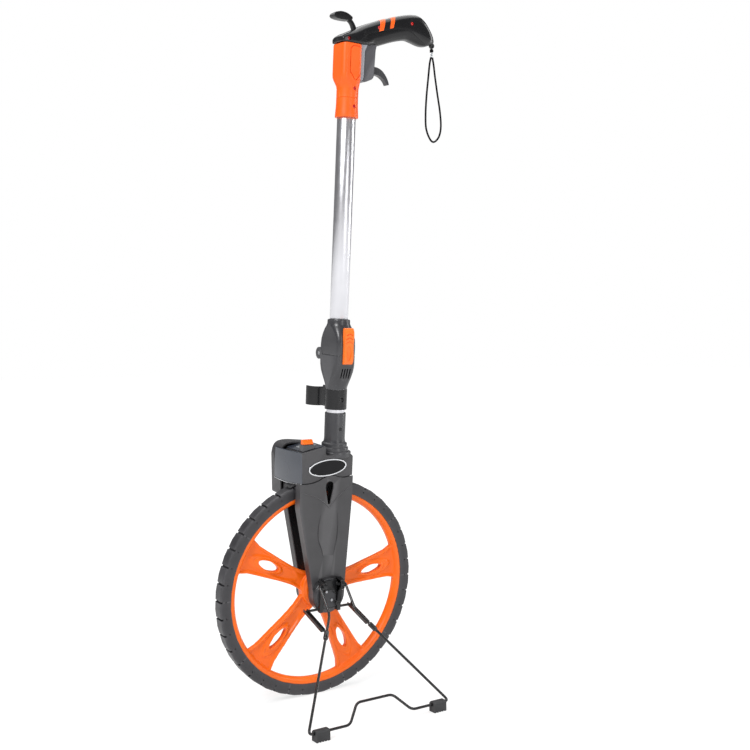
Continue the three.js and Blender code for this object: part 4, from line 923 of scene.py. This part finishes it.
def make_zero_button():
    side = [(-53, 248.2), (-30, 253.2), (-30, 260), (-53, 260)]
    base = prism("base", side, -24.1, -11)
    cut(base, block("well", (-51.4, -31.6), (-22.5, -12.6), (257, 261)))
    piece(soften(base, 0.7, 3), "fork", "charcoal_plastic", GREY, "reset_base")
    profile = [(-22.2, 260), (-12.9, 260), (-12.9, 268.4), (-19, 268.4), (-22.2, 263)]
    button = prism("button", rounded(profile, 1.2, 3), -51.1, -31.9, "x")
    grooves = [block("groove", (x, x + 1.9), (-20.5, -10), (267.2, 270))
               for x in (-48.6, -44.6, -40.6, -36.6)]
    cut(button, *grooves)
    piece(soften(button, 0.45, 3), "zero_button", "orange_plastic", ORANGE, "reset_button")


make_counter_cover()
make_housing()
make_nose()
make_drive_cover()
make_badge()
make_zero_button()


# ------------------------------------------------------------------ pole
def rounded_section(x0, x1, half, radius, count=20):
    radius = min(radius, half, (x1 - x0) / 2)
    corners = [(x1 - radius, half - radius, 0), (x0 + radius, half - radius, 90),
               (x0 + radius, -half + radius, 180), (x1 - radius, -half + radius, 270)]
    points = []
    for x, y, start in corners:
        points += arc((x, y), radius, start, start + 90, count)
    return points


def make_pole():
    socket = lathe("socket", [
        (16.3, 245), (20, 245), (20, 240.4), (24.6, 240.4), (25, 240.9), (25, 248.6), (24.6, 249.7),
        (23.4, 250.2),
        (22.7, 250.8), (22.6, 255.8), (22.2, 257.1), (20.8, 257.9), (19.6, 258.8), (18.9, 261.4), (18.5, 265),
        (18.5, 309.4), (18.2, 310.5), (17.4, 311), (16.3, 311)], "z", matrix=POLE)
    cut(socket, rod("hole", 3.3, -22, -17.6, "y", (0, 0, 283), POLE))
    step = lathe("step", [(20.5, 233.5), (26.4, 233.5), (27.2, 234), (27.6, 235), (27.6, 241.8), (27.1, 243),
                          (26, 243.4), (20.5, 243.4)], "z", (0, -4, 0), POLE)
    piece(smooth(step, 32), "fork", "charcoal_plastic", GREY)
    piece(smooth(socket, 32), "fork", "charcoal_plastic", GREY, "pole_socket")
    screw_head("socket_screw_head", (0, 283), -18.9, 2.6, BLACK_STEEL, "fork", "bright_steel", "socket_screw",
               matrix=POLE)
    for name, low, high, body in (("lower_tube", 245, 393, "fork"), ("upper_tube", 433.3, 880, "upper_pole")):
        wall = lathe(name + "_drawn", [(14.2, low + 0.4), (14.6, low), (15.6, low), (16, low + 0.4),
                                       (16, high - 0.4), (15.6, high), (14.6, high), (14.2, high - 0.4)], "z",
                     matrix=POLE)
        piece(smooth(wall, 50), body, "tube_aluminium", TUBE, name)


def make_clip():
    collar = lathe("collar", [(16.3, 317), (19.4, 317), (19.4, 351.7), (16.3, 351.7)], "z", matrix=POLE)
    jaw = arc((0, 66), 19.8, 160, 380, 40) + [(16.5, 72.6), (16.5, 66)]
    jaw += arc((0, 66), 16.35, 360, 180, 36)[1:-1] + [(-16.5, 66), (-16.5, 72.6)]
    cradle = prism("cradle", jaw, 317, 351, "z", POLE)
    bridge = block("bridge", (-8, 8), (17, 49), (319, 350), POLE)
    bore = rod("bore", 16.3, 310, 360, "z", matrix=POLE, segments=96)
    hole = rod("hole", 4, -25, -16, "y", (0, 0, 334.5), POLE)
    union(collar, bridge, cradle)
    cut(collar, bore, hole, block("web", (-5, 5), (21, 43), (326, 343), POLE))
    piece(soften(collar, 0.9, 3), "fork", "black_plastic", BLACK, "storage_clip")
    screw_head("clip_screw", (0, 334.5), -18.4, 3.2, BLACK_STEEL, "fork", "black_steel", matrix=POLE)


JOINT_LOWER = [  # height, front and rear x, near and far y, corner radius
    (352.3, 18.9, -18.9, 18.9, 18.9), (356, 18.9, -19.2, 19.2, 18.6), (364, 18.8, -21.6, 21.4, 15),
    (374, 18.6, -25.6, 25.6, 11), (384, 18.5, -29.2, 29.8, 8.5), (392, 18.5, -31.4, 32, 8),
    (399, 18.5, -32, 32.7, 7.5), (411.9, 18.5, -32, 32.7, 7.5), (412.85, 18.1, -31.6, 32.3, 7)]
JOINT_UPPER = [
    (413.15, 18.1, -31.6, 32.3, 7), (414.1, 18.5, -32, 32.7, 7.5), (428, 18.5, -32, 32.6, 7.5),
    (440, 18.6, -31, 31, 8), (450, 18.8, -28, 27.4, 10), (458, 19.2, -24.6, 23.4, 13),
    (463, 19.6, -21.6, 20.6, 17), (467, 19.7, -19.9, 19.8, 19.6), (473, 19.7, -19.7, 19.7, 19.7),
    (474, 19.1, -19.1, 19.1, 19.1)]


def joint_body(name, levels):
    sections = []
    for z, half, near, far, radius in levels:
        ring = rounded_section(near, far, half, radius)
        sections.append([(y, x, z) for x, y in ring])
    return loft(name, sections, POLE)


def knuckle(low, high, radius=10.5):
    return rod("knuckle", radius, low, high, "x", (0, 33, 413), POLE, 64)


def pin_hole():
    return rod("pin_hole", 3.8, -30, 30, "x", (0, 33, 413), POLE)


def make_joint():
    lower = joint_body("joint_housing_lower", JOINT_LOWER)
    cut(lower, knuckle(-7.3, 7.3, 11.5), rod("bore", 16.3, 340, 430, "z", matrix=POLE, segments=72),
        block("pocket", (-9.3, 9.3), (-40, -29.5), (397.7, 420), POLE))
    slope = Matrix.Translation((0, -26, 377)) @ Matrix.Rotation(math.radians(-19), 4, "X")
    cut(lower, *[block("slot", (x, x + 2.8), (-9, 2.6), (-17, 19), POLE @ slope)
                 for x in (-9.3, -4.1, 1.1, 6.3)])
    union(lower, knuckle(-18.5, -7.3), knuckle(7.3, 18.5))
    cut(lower, pin_hole())
    piece(soften(lower, 0.6, 2), "fork", "charcoal_plastic", GREY, "joint_lower")
    upper = joint_body("joint_housing_upper", JOINT_UPPER)
    cut(upper, knuckle(-19, -7, 11.5), knuckle(7, 19, 11.5),
        rod("bore", 16.3, 433, 480, "z", matrix=POLE, segments=72),
        block("track", (-9.3, 9.3), (-40, -29.5), (400, 471), POLE))
    union(upper, knuckle(-7, 7))
    cut(upper, pin_hole())
    piece(soften(upper, 0.6, 2), "upper_pole", "charcoal_plastic", GREY, "joint_upper")


def make_latch():
    side = [(-29.8, 398), (-29.8, 461), (-34.2, 461), (-37.6, 455), (-38.2, 447), (-36.9, 432), (-36.9, 424),
            (-38.2, 410), (-37.2, 402.6), (-34.2, 398)]
    latch = prism("latch", rounded(side, 3, 4), -9, 9, "x", POLE)
    chevrons = []
    for z in (449, 442.5, 436):
        outline = [(-6.5, z - 2), (0, z + 1.2), (6.5, z - 2), (6.5, z), (0, z + 3.2), (-6.5, z)]
        chevrons.append(prism("chevron", outline, -45, -36.4, "y", POLE))
    hollow = [(4.6 * c, 417 + 13 * s) for c, s in circle(32)]
    chevrons.append(prism("thumb_hollow", hollow, -45, -36.1, "y", POLE))
    cut(latch, *chevrons)
    piece(soften(latch, 0.9, 3), "latch", "orange_plastic", ORANGE, "fold_latch")


make_pole()
make_clip()
make_joint()
make_latch()


# ------------------------------------------------------------------ handle
HEAD_SECTIONS = [
    (819, -19.6, 19.6, 19.6, 19.6), (820, -20, 20, 20, 20), (826, -19.7, 19.7, 19.7, 19.7),
    (839, -18.8, 18.8, 18.8, 18.8), (848, -18.7, 18.7, 18.7, 18.7), (866, -18.7, 18.7, 18.7, 18.7),
    (871, -18.9, 18.6, 18.9, 17), (876, -19.9, 17.9, 19.6, 14), (881, -21.1, 16.7, 20.4, 11),
    (886, -21.9, 16, 20.9, 9), (891, -22, 16, 21, 8.5), (938, -22, 16, 21, 8.5),
    (940, -21.6, 15.6, 20.6, 8.5), (941, -20.6, 14.6, 19.6, 8)]
HEAD_SCREWS = (867, 837)
HEX_PANEL = [(-10, 893), (2.5, 878), (14.6, 893), (14.6, 931), (9, 937.5), (-4.4, 937.5), (-10, 932)]


def make_head():
    sections = []
    for z, x0, x1, half, radius in HEAD_SECTIONS:
        sections.append([(x, y, z) for x, y in rounded_section(x0, x1, half, radius)])
    for side, name in ((-1, "near"), (1, "far")):
        head = loft("head_" + name, sections, POLE)
        away = sorted((side * -0.15, side * -60))
        outer = prism("frame", rounded(HEX_PANEL, 2, 3), *sorted((side * 19.5, side * 40)), "y", POLE)
        field = rounded(inset(HEX_PANEL, 1.7), 1.5, 3)
        cut(outer, prism("field", field, *sorted((side * 19, side * 45)), "y", POLE))
        tools = [block("half", (-60, 60), away, (800, 960), POLE),
                 rod("bore", 16.3, 800, 880.3, "z", matrix=POLE), outer]
        if side < 0:
            tools += [rod("hole", 3.4, -30, -17.1, "y", (3, 0, z), POLE) for z in HEAD_SCREWS]
        tools += [lathe("waist", [(18.1, 851.6), (19.6, 850.4), (19.6, 852.8)], "z", matrix=POLE)]
        cut(head, *tools)
        piece(soften(head, 0.45, 2), "upper_pole", "orange_plastic", ORANGE_HEAD, f"head_shell_{name}")
    for k, z in enumerate(HEAD_SCREWS):
        screw_head(f"head_screw_{k + 1}", (3, z), -18.2, 3.0, SCREW_RED, "upper_pole", "bright_steel",
                   matrix=POLE)


# Stations from the front of the grip to its tail: back (x, z), underside (x, z), half width,
# and how far down the section the seam between the top shell and the belly runs.
GRIP = [
    (-24, 947.6, -24, 942.4, 14, 0.97), (-23.2, 951.8, -22.4, 941.4, 17.4, 0.97),
    (-18, 955.8, -15.5, 941.2, 19.4, 0.97),
    (-10, 959.8, -7, 941.2, 20.4, 0.97), (4, 966.8, 8, 941.2, 20.4, 0.95), (15, 973, 17, 941.2, 19.6, 0.72),
    (27, 978.6, 30, 941.6, 17.4, 0.48), (44, 985.6, 48, 943.4, 15.8, 0.44), (60, 992, 66, 949.8, 15.2, 0.47),
    (75, 997, 80, 955.2, 15.2, 0.51), (93, 1003.2, 97, 960.8, 15.4, 0.56),
    (112, 1008.6, 114, 964.8, 15.8, 0.66),
    (125, 1011, 127, 963.2, 16, 0.76), (137, 1011.3, 140, 960.4, 16, 0.84),
    (149, 1005.6, 150, 959.4, 15.6, 0.88),
    (159, 995.2, 159.5, 961, 14.4, 0.9), (167, 984.6, 167, 964.6, 12, 0.9), (172.3, 975, 172, 967, 8.2, 0.9),
    (173.9, 971.3, 173.4, 968.6, 4.5, 0.9)]
GRIP_POWER = 2.7
GRIP_STEPS = 5
GRIP_SCREWS = ((-12, 947.6), (51, 975), (119, 993))
TAIL_STATION = 11  # the lighter texture starts here


def grip_stations():
    pairs = spline([(g[0], g[1], g[4]) for g in GRIP], GRIP_STEPS)
    under = spline([(g[2], g[3], g[5]) for g in GRIP], GRIP_STEPS)
    return [(a.x, a.y, b.x, b.y, a.z, min(0.97, b.z)) for a, b in zip(pairs, under)]


STATIONS = grip_stations()


def grip_point(place, down, side, proud=0.0):
    """A point on the grip: place along the stations, down from 0 at the back to 1 at the underside."""
    low = min(int(place), len(STATIONS) - 2)
    share = place - low
    bx, bz, ux, uz, half, _ = [p + (q - p) * share for p, q in zip(STATIONS[low], STATIONS[low + 1])]
    middle_x, middle_z = (bx + ux) / 2, (bz + uz) / 2
    tall = math.hypot(bx - ux, bz - uz) / 2
    nx, nz = (bx - ux) / (2 * tall), (bz - uz) / (2 * tall)
    level = 1 - 2 * down
    # The underside is flat where it sits on the head and round behind it.
    power = GRIP_POWER if level > 0 else GRIP_POWER + 6 * (1 - ease(middle_x, 14, 44))
    wide = (1 - abs(level) ** power) ** (1 / power)
    return (middle_x + nx * (tall + proud) * level, side * max(0.15, (half + proud) * wide),
            middle_z + nz * (tall + proud) * level)


def down_steps(seam, count):
    """Fractions from the back to the seam and on to the underside, denser where the section turns."""
    start, end = math.pi / 2, math.asin(max(-1, min(1, 1 - 2 * seam)))
    top = [(1 - math.sin(start + (end - start) * k / count)) / 2 for k in range(count + 1)]
    belly = [(1 - math.sin(end + (-math.pi / 2 - end) * k / count)) / 2 for k in range(count + 1)]
    return top, belly


def make_grip():
    count = 12
    for side, name in ((-1, "near"), (1, "far")):
        sections = []
        for place, station in enumerate(STATIONS):
            top, belly = down_steps(station[5], count)
            sections.append([grip_point(place, down, side) for down in top]
                            + [grip_point(place, down, side, -0.9) for down in belly])
        rows = len(sections[0])
        grip = loft("grip_" + name, sections, POLE)
        for index, face in enumerate(grip.data.polygons):
            band = index % rows if index < rows * (len(STATIONS) - 1) else 0
            station = index // rows
            if count <= band < rows - 1:
                face.material_index = 1
            elif station >= TAIL_STATION * GRIP_STEPS:
                face.material_index = 2
        tools = [block("lever_slot", (-6, 22), (-4.1, 4.1), (951, 1000), POLE)]
        if side < 0:
            for x, z in GRIP_SCREWS:
                tools.append(rod("hole", 3.5, -30, -16.0 if x < 0 else -13.6, "y", (x, 0, z), POLE))
        cut(grip, *tools)
        smooth(grip, 40)
        lug_low, lug_high = sorted((side * 0.15, side * 2.2))
        lug = lathe("lug", [(1.9, lug_low), (4.6, lug_low), (4.6, lug_high), (1.9, lug_high)], "y",
                    (174, 0, 965.6), POLE, 40)
        smooth(lug)
        for face in lug.data.polygons:
            face.material_index = 2
        merged = merge("grip_half_" + name, grip, lug)
        piece(smooth(merged, 40), "upper_pole", "charcoal_plastic", [GRIP_TOP, GRIP_SIDE, GRIP_TAIL],
              f"grip_shell_{name}")
        low, high = sorted((side * 0.15, side * 11))
        outline = [(16.4, 885.5), (16.4, 946), (49.5, 946), (47.4, 938), (45.6, 893), (42.5, 888),
                   (28, 881.4), (20, 882.4)]
        housing = prism("housing", rounded(outline, 3, 4), low, high, "y", POLE)
        cut(housing, block("trigger_slot", (33, 60), (-5.7, 5.7), (890, 915), POLE))
        piece(soften(housing, 2.2, 4, 50), "upper_pole", "charcoal_plastic", GRIP_SIDE)
        # The strip down the front of the housing is a lighter grey: a painted reflection where the curved
        # front edge catches the light.
        low, high = sorted((side * 0.15, side * 13.4))
        outline = [(16.3, 884.5), (21, 882.5), (23.5, 890), (24, 932), (30, 946), (16.3, 946)]
        band = prism("band", rounded(outline, 2, 3), low, high, "y", POLE)
        soften(band, 2.0, 4, 50)
        band.name = "housing_reflection_band_" + name
        piece(band, "upper_pole", "charcoal_plastic", REFLECTION_BAND)
    for k, (x, z) in enumerate(GRIP_SCREWS):
        face_y = -17.6 if x < 0 else -15.2
        screw_head(f"grip_screw_{k + 1}", (x, z), face_y, 2.9, SCREW_RED, "upper_pole", "bright_steel",
                   matrix=POLE)


def station_at(x):
    for i, (a, b) in enumerate(zip(STATIONS, STATIONS[1:])):
        if a[0] <= x <= b[0]:
            return i + (x - a[0]) / (b[0] - a[0])
    return 0


def make_stripes():
    """Two orange inlays wrap over the top of the grip and lean forward."""
    for number, (front, rear) in enumerate(((57, 68), (79, 88.5))):
        rows, columns = 36, 8
        verts = []
        for proud in (0.3, -0.9):
            for a in range(rows + 1):
                share = 2 * a / rows - 1
                side = -1 if share < 0 else 1
                down = 0.44 * abs(share) ** 1.5
                lean_x = -9 * abs(share)
                for b in range(columns + 1):
                    x = front + (rear - front - 2.2 * abs(share)) * b / columns + lean_x
                    point = grip_point(station_at(x), down, side, proud)
                    y = 0 if abs(share) < 1e-6 else point[1]
                    verts.append((point[0], y, point[2]))
        stripe = add_object(f"grip_stripe_{number + 1}", verts, slab_faces(rows, columns), POLE)
        piece(smooth(stripe, 50), "upper_pole", "orange_plastic", ORANGE_HEAD)


def make_trigger():
    outer = flat_spline([(43, 911), (52, 911), (60, 909.6), (68, 905.5), (76, 897.2), (80.4, 889.5),
                         (82, 884.4)], 6)
    inner = flat_spline([(77.4, 883.2), (74.8, 887.5), (70, 892.4), (61, 897), (49, 898.2), (38, 898)], 6)
    trigger = prism("trigger", outer + inner + [(37, 906)], -5, 5, "y", POLE)
    cut(trigger, rod("bore", 2.3, -9, 9, "y", (41, 0, 904), POLE))
    piece(soften(trigger, 1.9, 4, 50), "trigger", "charcoal_plastic", GREY, "brake_trigger")


def make_lever():
    stem_line = spline([(9, 953, 0), (9.4, 962, 0), (6.6, 971, 0), (1.6, 978.6, 0), (-6, 983.4, 0)], 8)
    stem = []
    for edge in (1, -1):
        side = []
        for i, p in enumerate(stem_line):
            before, after = stem_line[max(0, i - 1)], stem_line[min(len(stem_line) - 1, i + 1)]
            along = (after - before).normalized()
            wide = 4.8 - 1.9 * i / (len(stem_line) - 1)
            side.append((p.x - along.y * edge * wide, p.y + along.x * edge * wide))
        stem += side if edge == 1 else side[::-1]
    stem = prism("stem", stem, -3.4, 3.4, "y", POLE)
    cut(stem, rod("bore", 2.3, -9, 9, "y", (9, 0, 957), POLE))
    soften(stem, 0.9, 3, 50)
    top = flat_spline([(-37, 983.4), (-34.5, 988), (-28, 991), (-20, 992.3), (-9, 990.8), (0.6, 986)], 6)
    under = flat_spline([(0, 981.6), (-7, 979.8), (-18, 979.2), (-27, 979.4), (-34, 980.6)], 6)
    paddle = prism("paddle", top + under, -8, 8, "y", POLE)
    soften(paddle, 2.6, 5, 50)
    ridges = [tube("ridge", [(x, -5.4, z), (x, 0, z + 0.3), (x, 5.4, z)], 0.7, 8, POLE)
              for x, z in ((-30, 989.9), (-26, 991.1), (-22, 991.8), (-18, 991.9))]
    lever = merge("lever_paddle", stem, paddle, *ridges)
    piece(smooth(lever, 40), "lever", "black_plastic", BLACK, "reset_lever")


make_head()
make_grip()
make_stripes()
make_trigger()
make_lever()


# ------------------------------------------------------------------ kickstand
STAND_LENGTH, WIRE = 240, 2.3
TREAD_HALF = 8.5  # the tread's near edge, which is its lowest line
FOOT_HEIGHT = 13  # from the foot's sole to the wire
GROUND = TYRE_R * math.cos(math.pi / NOTCHES) * math.cos(LEAN) + TREAD_HALF * math.sin(LEAN)
DROP = GROUND - FOOT_HEIGHT + (PIVOT_Y * math.sin(LEAN) + PIVOT_Z * math.cos(LEAN))
SLOPE = math.asin(DROP / STAND_LENGTH) - LEAN
STAND = WORLD @ Matrix.Translation((4, PIVOT_Y, PIVOT_Z)) @ Matrix.Rotation(SLOPE, 4, "X")


def leg_point(side, along):
    share = (along - 52) / (STAND_LENGTH - 52)
    return Vector((side * (26 + share * 112), -along, 0))


def bent(corners, reaches, steps=8):
    path = [Vector(corners[0])]
    for i in range(1, len(corners) - 1):
        corner = Vector(corners[i])
        before = Vector(corners[i - 1]) - corner
        after = Vector(corners[i + 1]) - corner
        path += bend(corner, before, after, reaches[min(i, len(corners) - 1 - i) - 1], steps)
    path.append(Vector(corners[-1]))
    return path


def make_stand():
    plane = [(12, 0), (26, 0), (26, 52), (138, STAND_LENGTH), (61, STAND_LENGTH), (35, STAND_LENGTH - 32)]
    corners = [(x, -y, 0) for x, y in plane] + [(-x, -y, 0) for x, y in reversed(plane)]
    wire = tube("stand_bent_wire", bent(corners, [2.5, 12, 9, 8, 8]), WIRE, 20, STAND)
    piece(smooth(wire, 50), "stand", "black_steel", BLACK_STEEL, "stand_wire")
    for side, name in ((-1, "left"), (1, "right")):
        foot = Matrix.Translation((side * 115, -STAND_LENGTH, 0))
        upright = STAND @ foot @ Matrix.Rotation(-SLOPE - LEAN, 4, "X")
        outline = [(-8, -FOOT_HEIGHT), (8, -FOOT_HEIGHT), (8, 1.4), (4.4, 5), (-4.4, 5), (-8, 1.4)]
        pad = prism("pad", outline, -12.5, 12.5, "x", upright)
        ribs = [block("rib", (x, x + 1.6), (-12, 12), (-20, -11.6), upright) for x in (-8.8, -3.8, 1.2, 6.2)]
        cut(pad, rod("bore", 2.6, -20, 20, "x", matrix=upright), *ribs)
        piece(soften(pad, 1.0, 3), "stand", "foot_rubber", RUBBER, f"foot_{name}")
        start, end = leg_point(side, 80), leg_point(side, 94)
        path = [start + (end - start) * t for t in (0, 0.06, 0.14, 0.5, 0.86, 0.94, 1)]
        swell = tube("collar", path, 4.3, 28, STAND,
                     squeeze=lambda t: 0.8 if t < 0.01 or t > 0.99 else (0.93 if t < 0.2 or t > 0.8 else 1.0))
        piece(smooth(swell, 50), "stand", "black_steel", BLACK_STEEL, f"stand_collar_{name}")


def make_brace():
    reach_y = PIVOT_Y - 87 * math.cos(SLOPE) + 34
    reach_z = PIVOT_Z - 87 * math.sin(SLOPE) + 30
    turn = Matrix.Rotation(math.atan2(-reach_z, -reach_y), 4, "X")
    brace = WORLD @ Matrix.Translation((4, *BRACE_PIVOT)) @ turn
    channel = [(-4, -2.8), (4, -2.8), (4, 2.8), (2.6, 2.8), (2.6, -1.2), (-2.6, -1.2), (-2.6, 2.8), (-4, 2.8)]
    parts = [rod("rod", WIRE, -45, 45, "x", matrix=brace)]
    for side in (-1, 1):
        strut = prism("strut", [(x + side * 45, z) for x, z in channel], -60, 4, "y", brace)
        soften(strut, 0.5, 3)
        parts.append(strut)
    frame_piece = smooth(merge("brace_frame", *parts), 40)
    piece(frame_piece, "brace", "black_steel", BLACK_STEEL, "stand_brace")


make_stand()
make_brace()

repaint(STEEL, "axle", "axle_nut_near", "axle_nut_far", "brake_pin", "counter_shaft", "bearing_near",
        "bearing_far", "bearing_spacer", "hinge_pin", "trigger_pin", "lever_pin")
repaint(BLACK, "fork_frame", "brake_arm", "counter_pulley", "hub_pulley")
repaint(RUBBER, "brake_pad")
repaint(BELT, "drive_belt")
repaint(DRUM, *[f"digit_drum_{k}" for k in range(1, 6)])
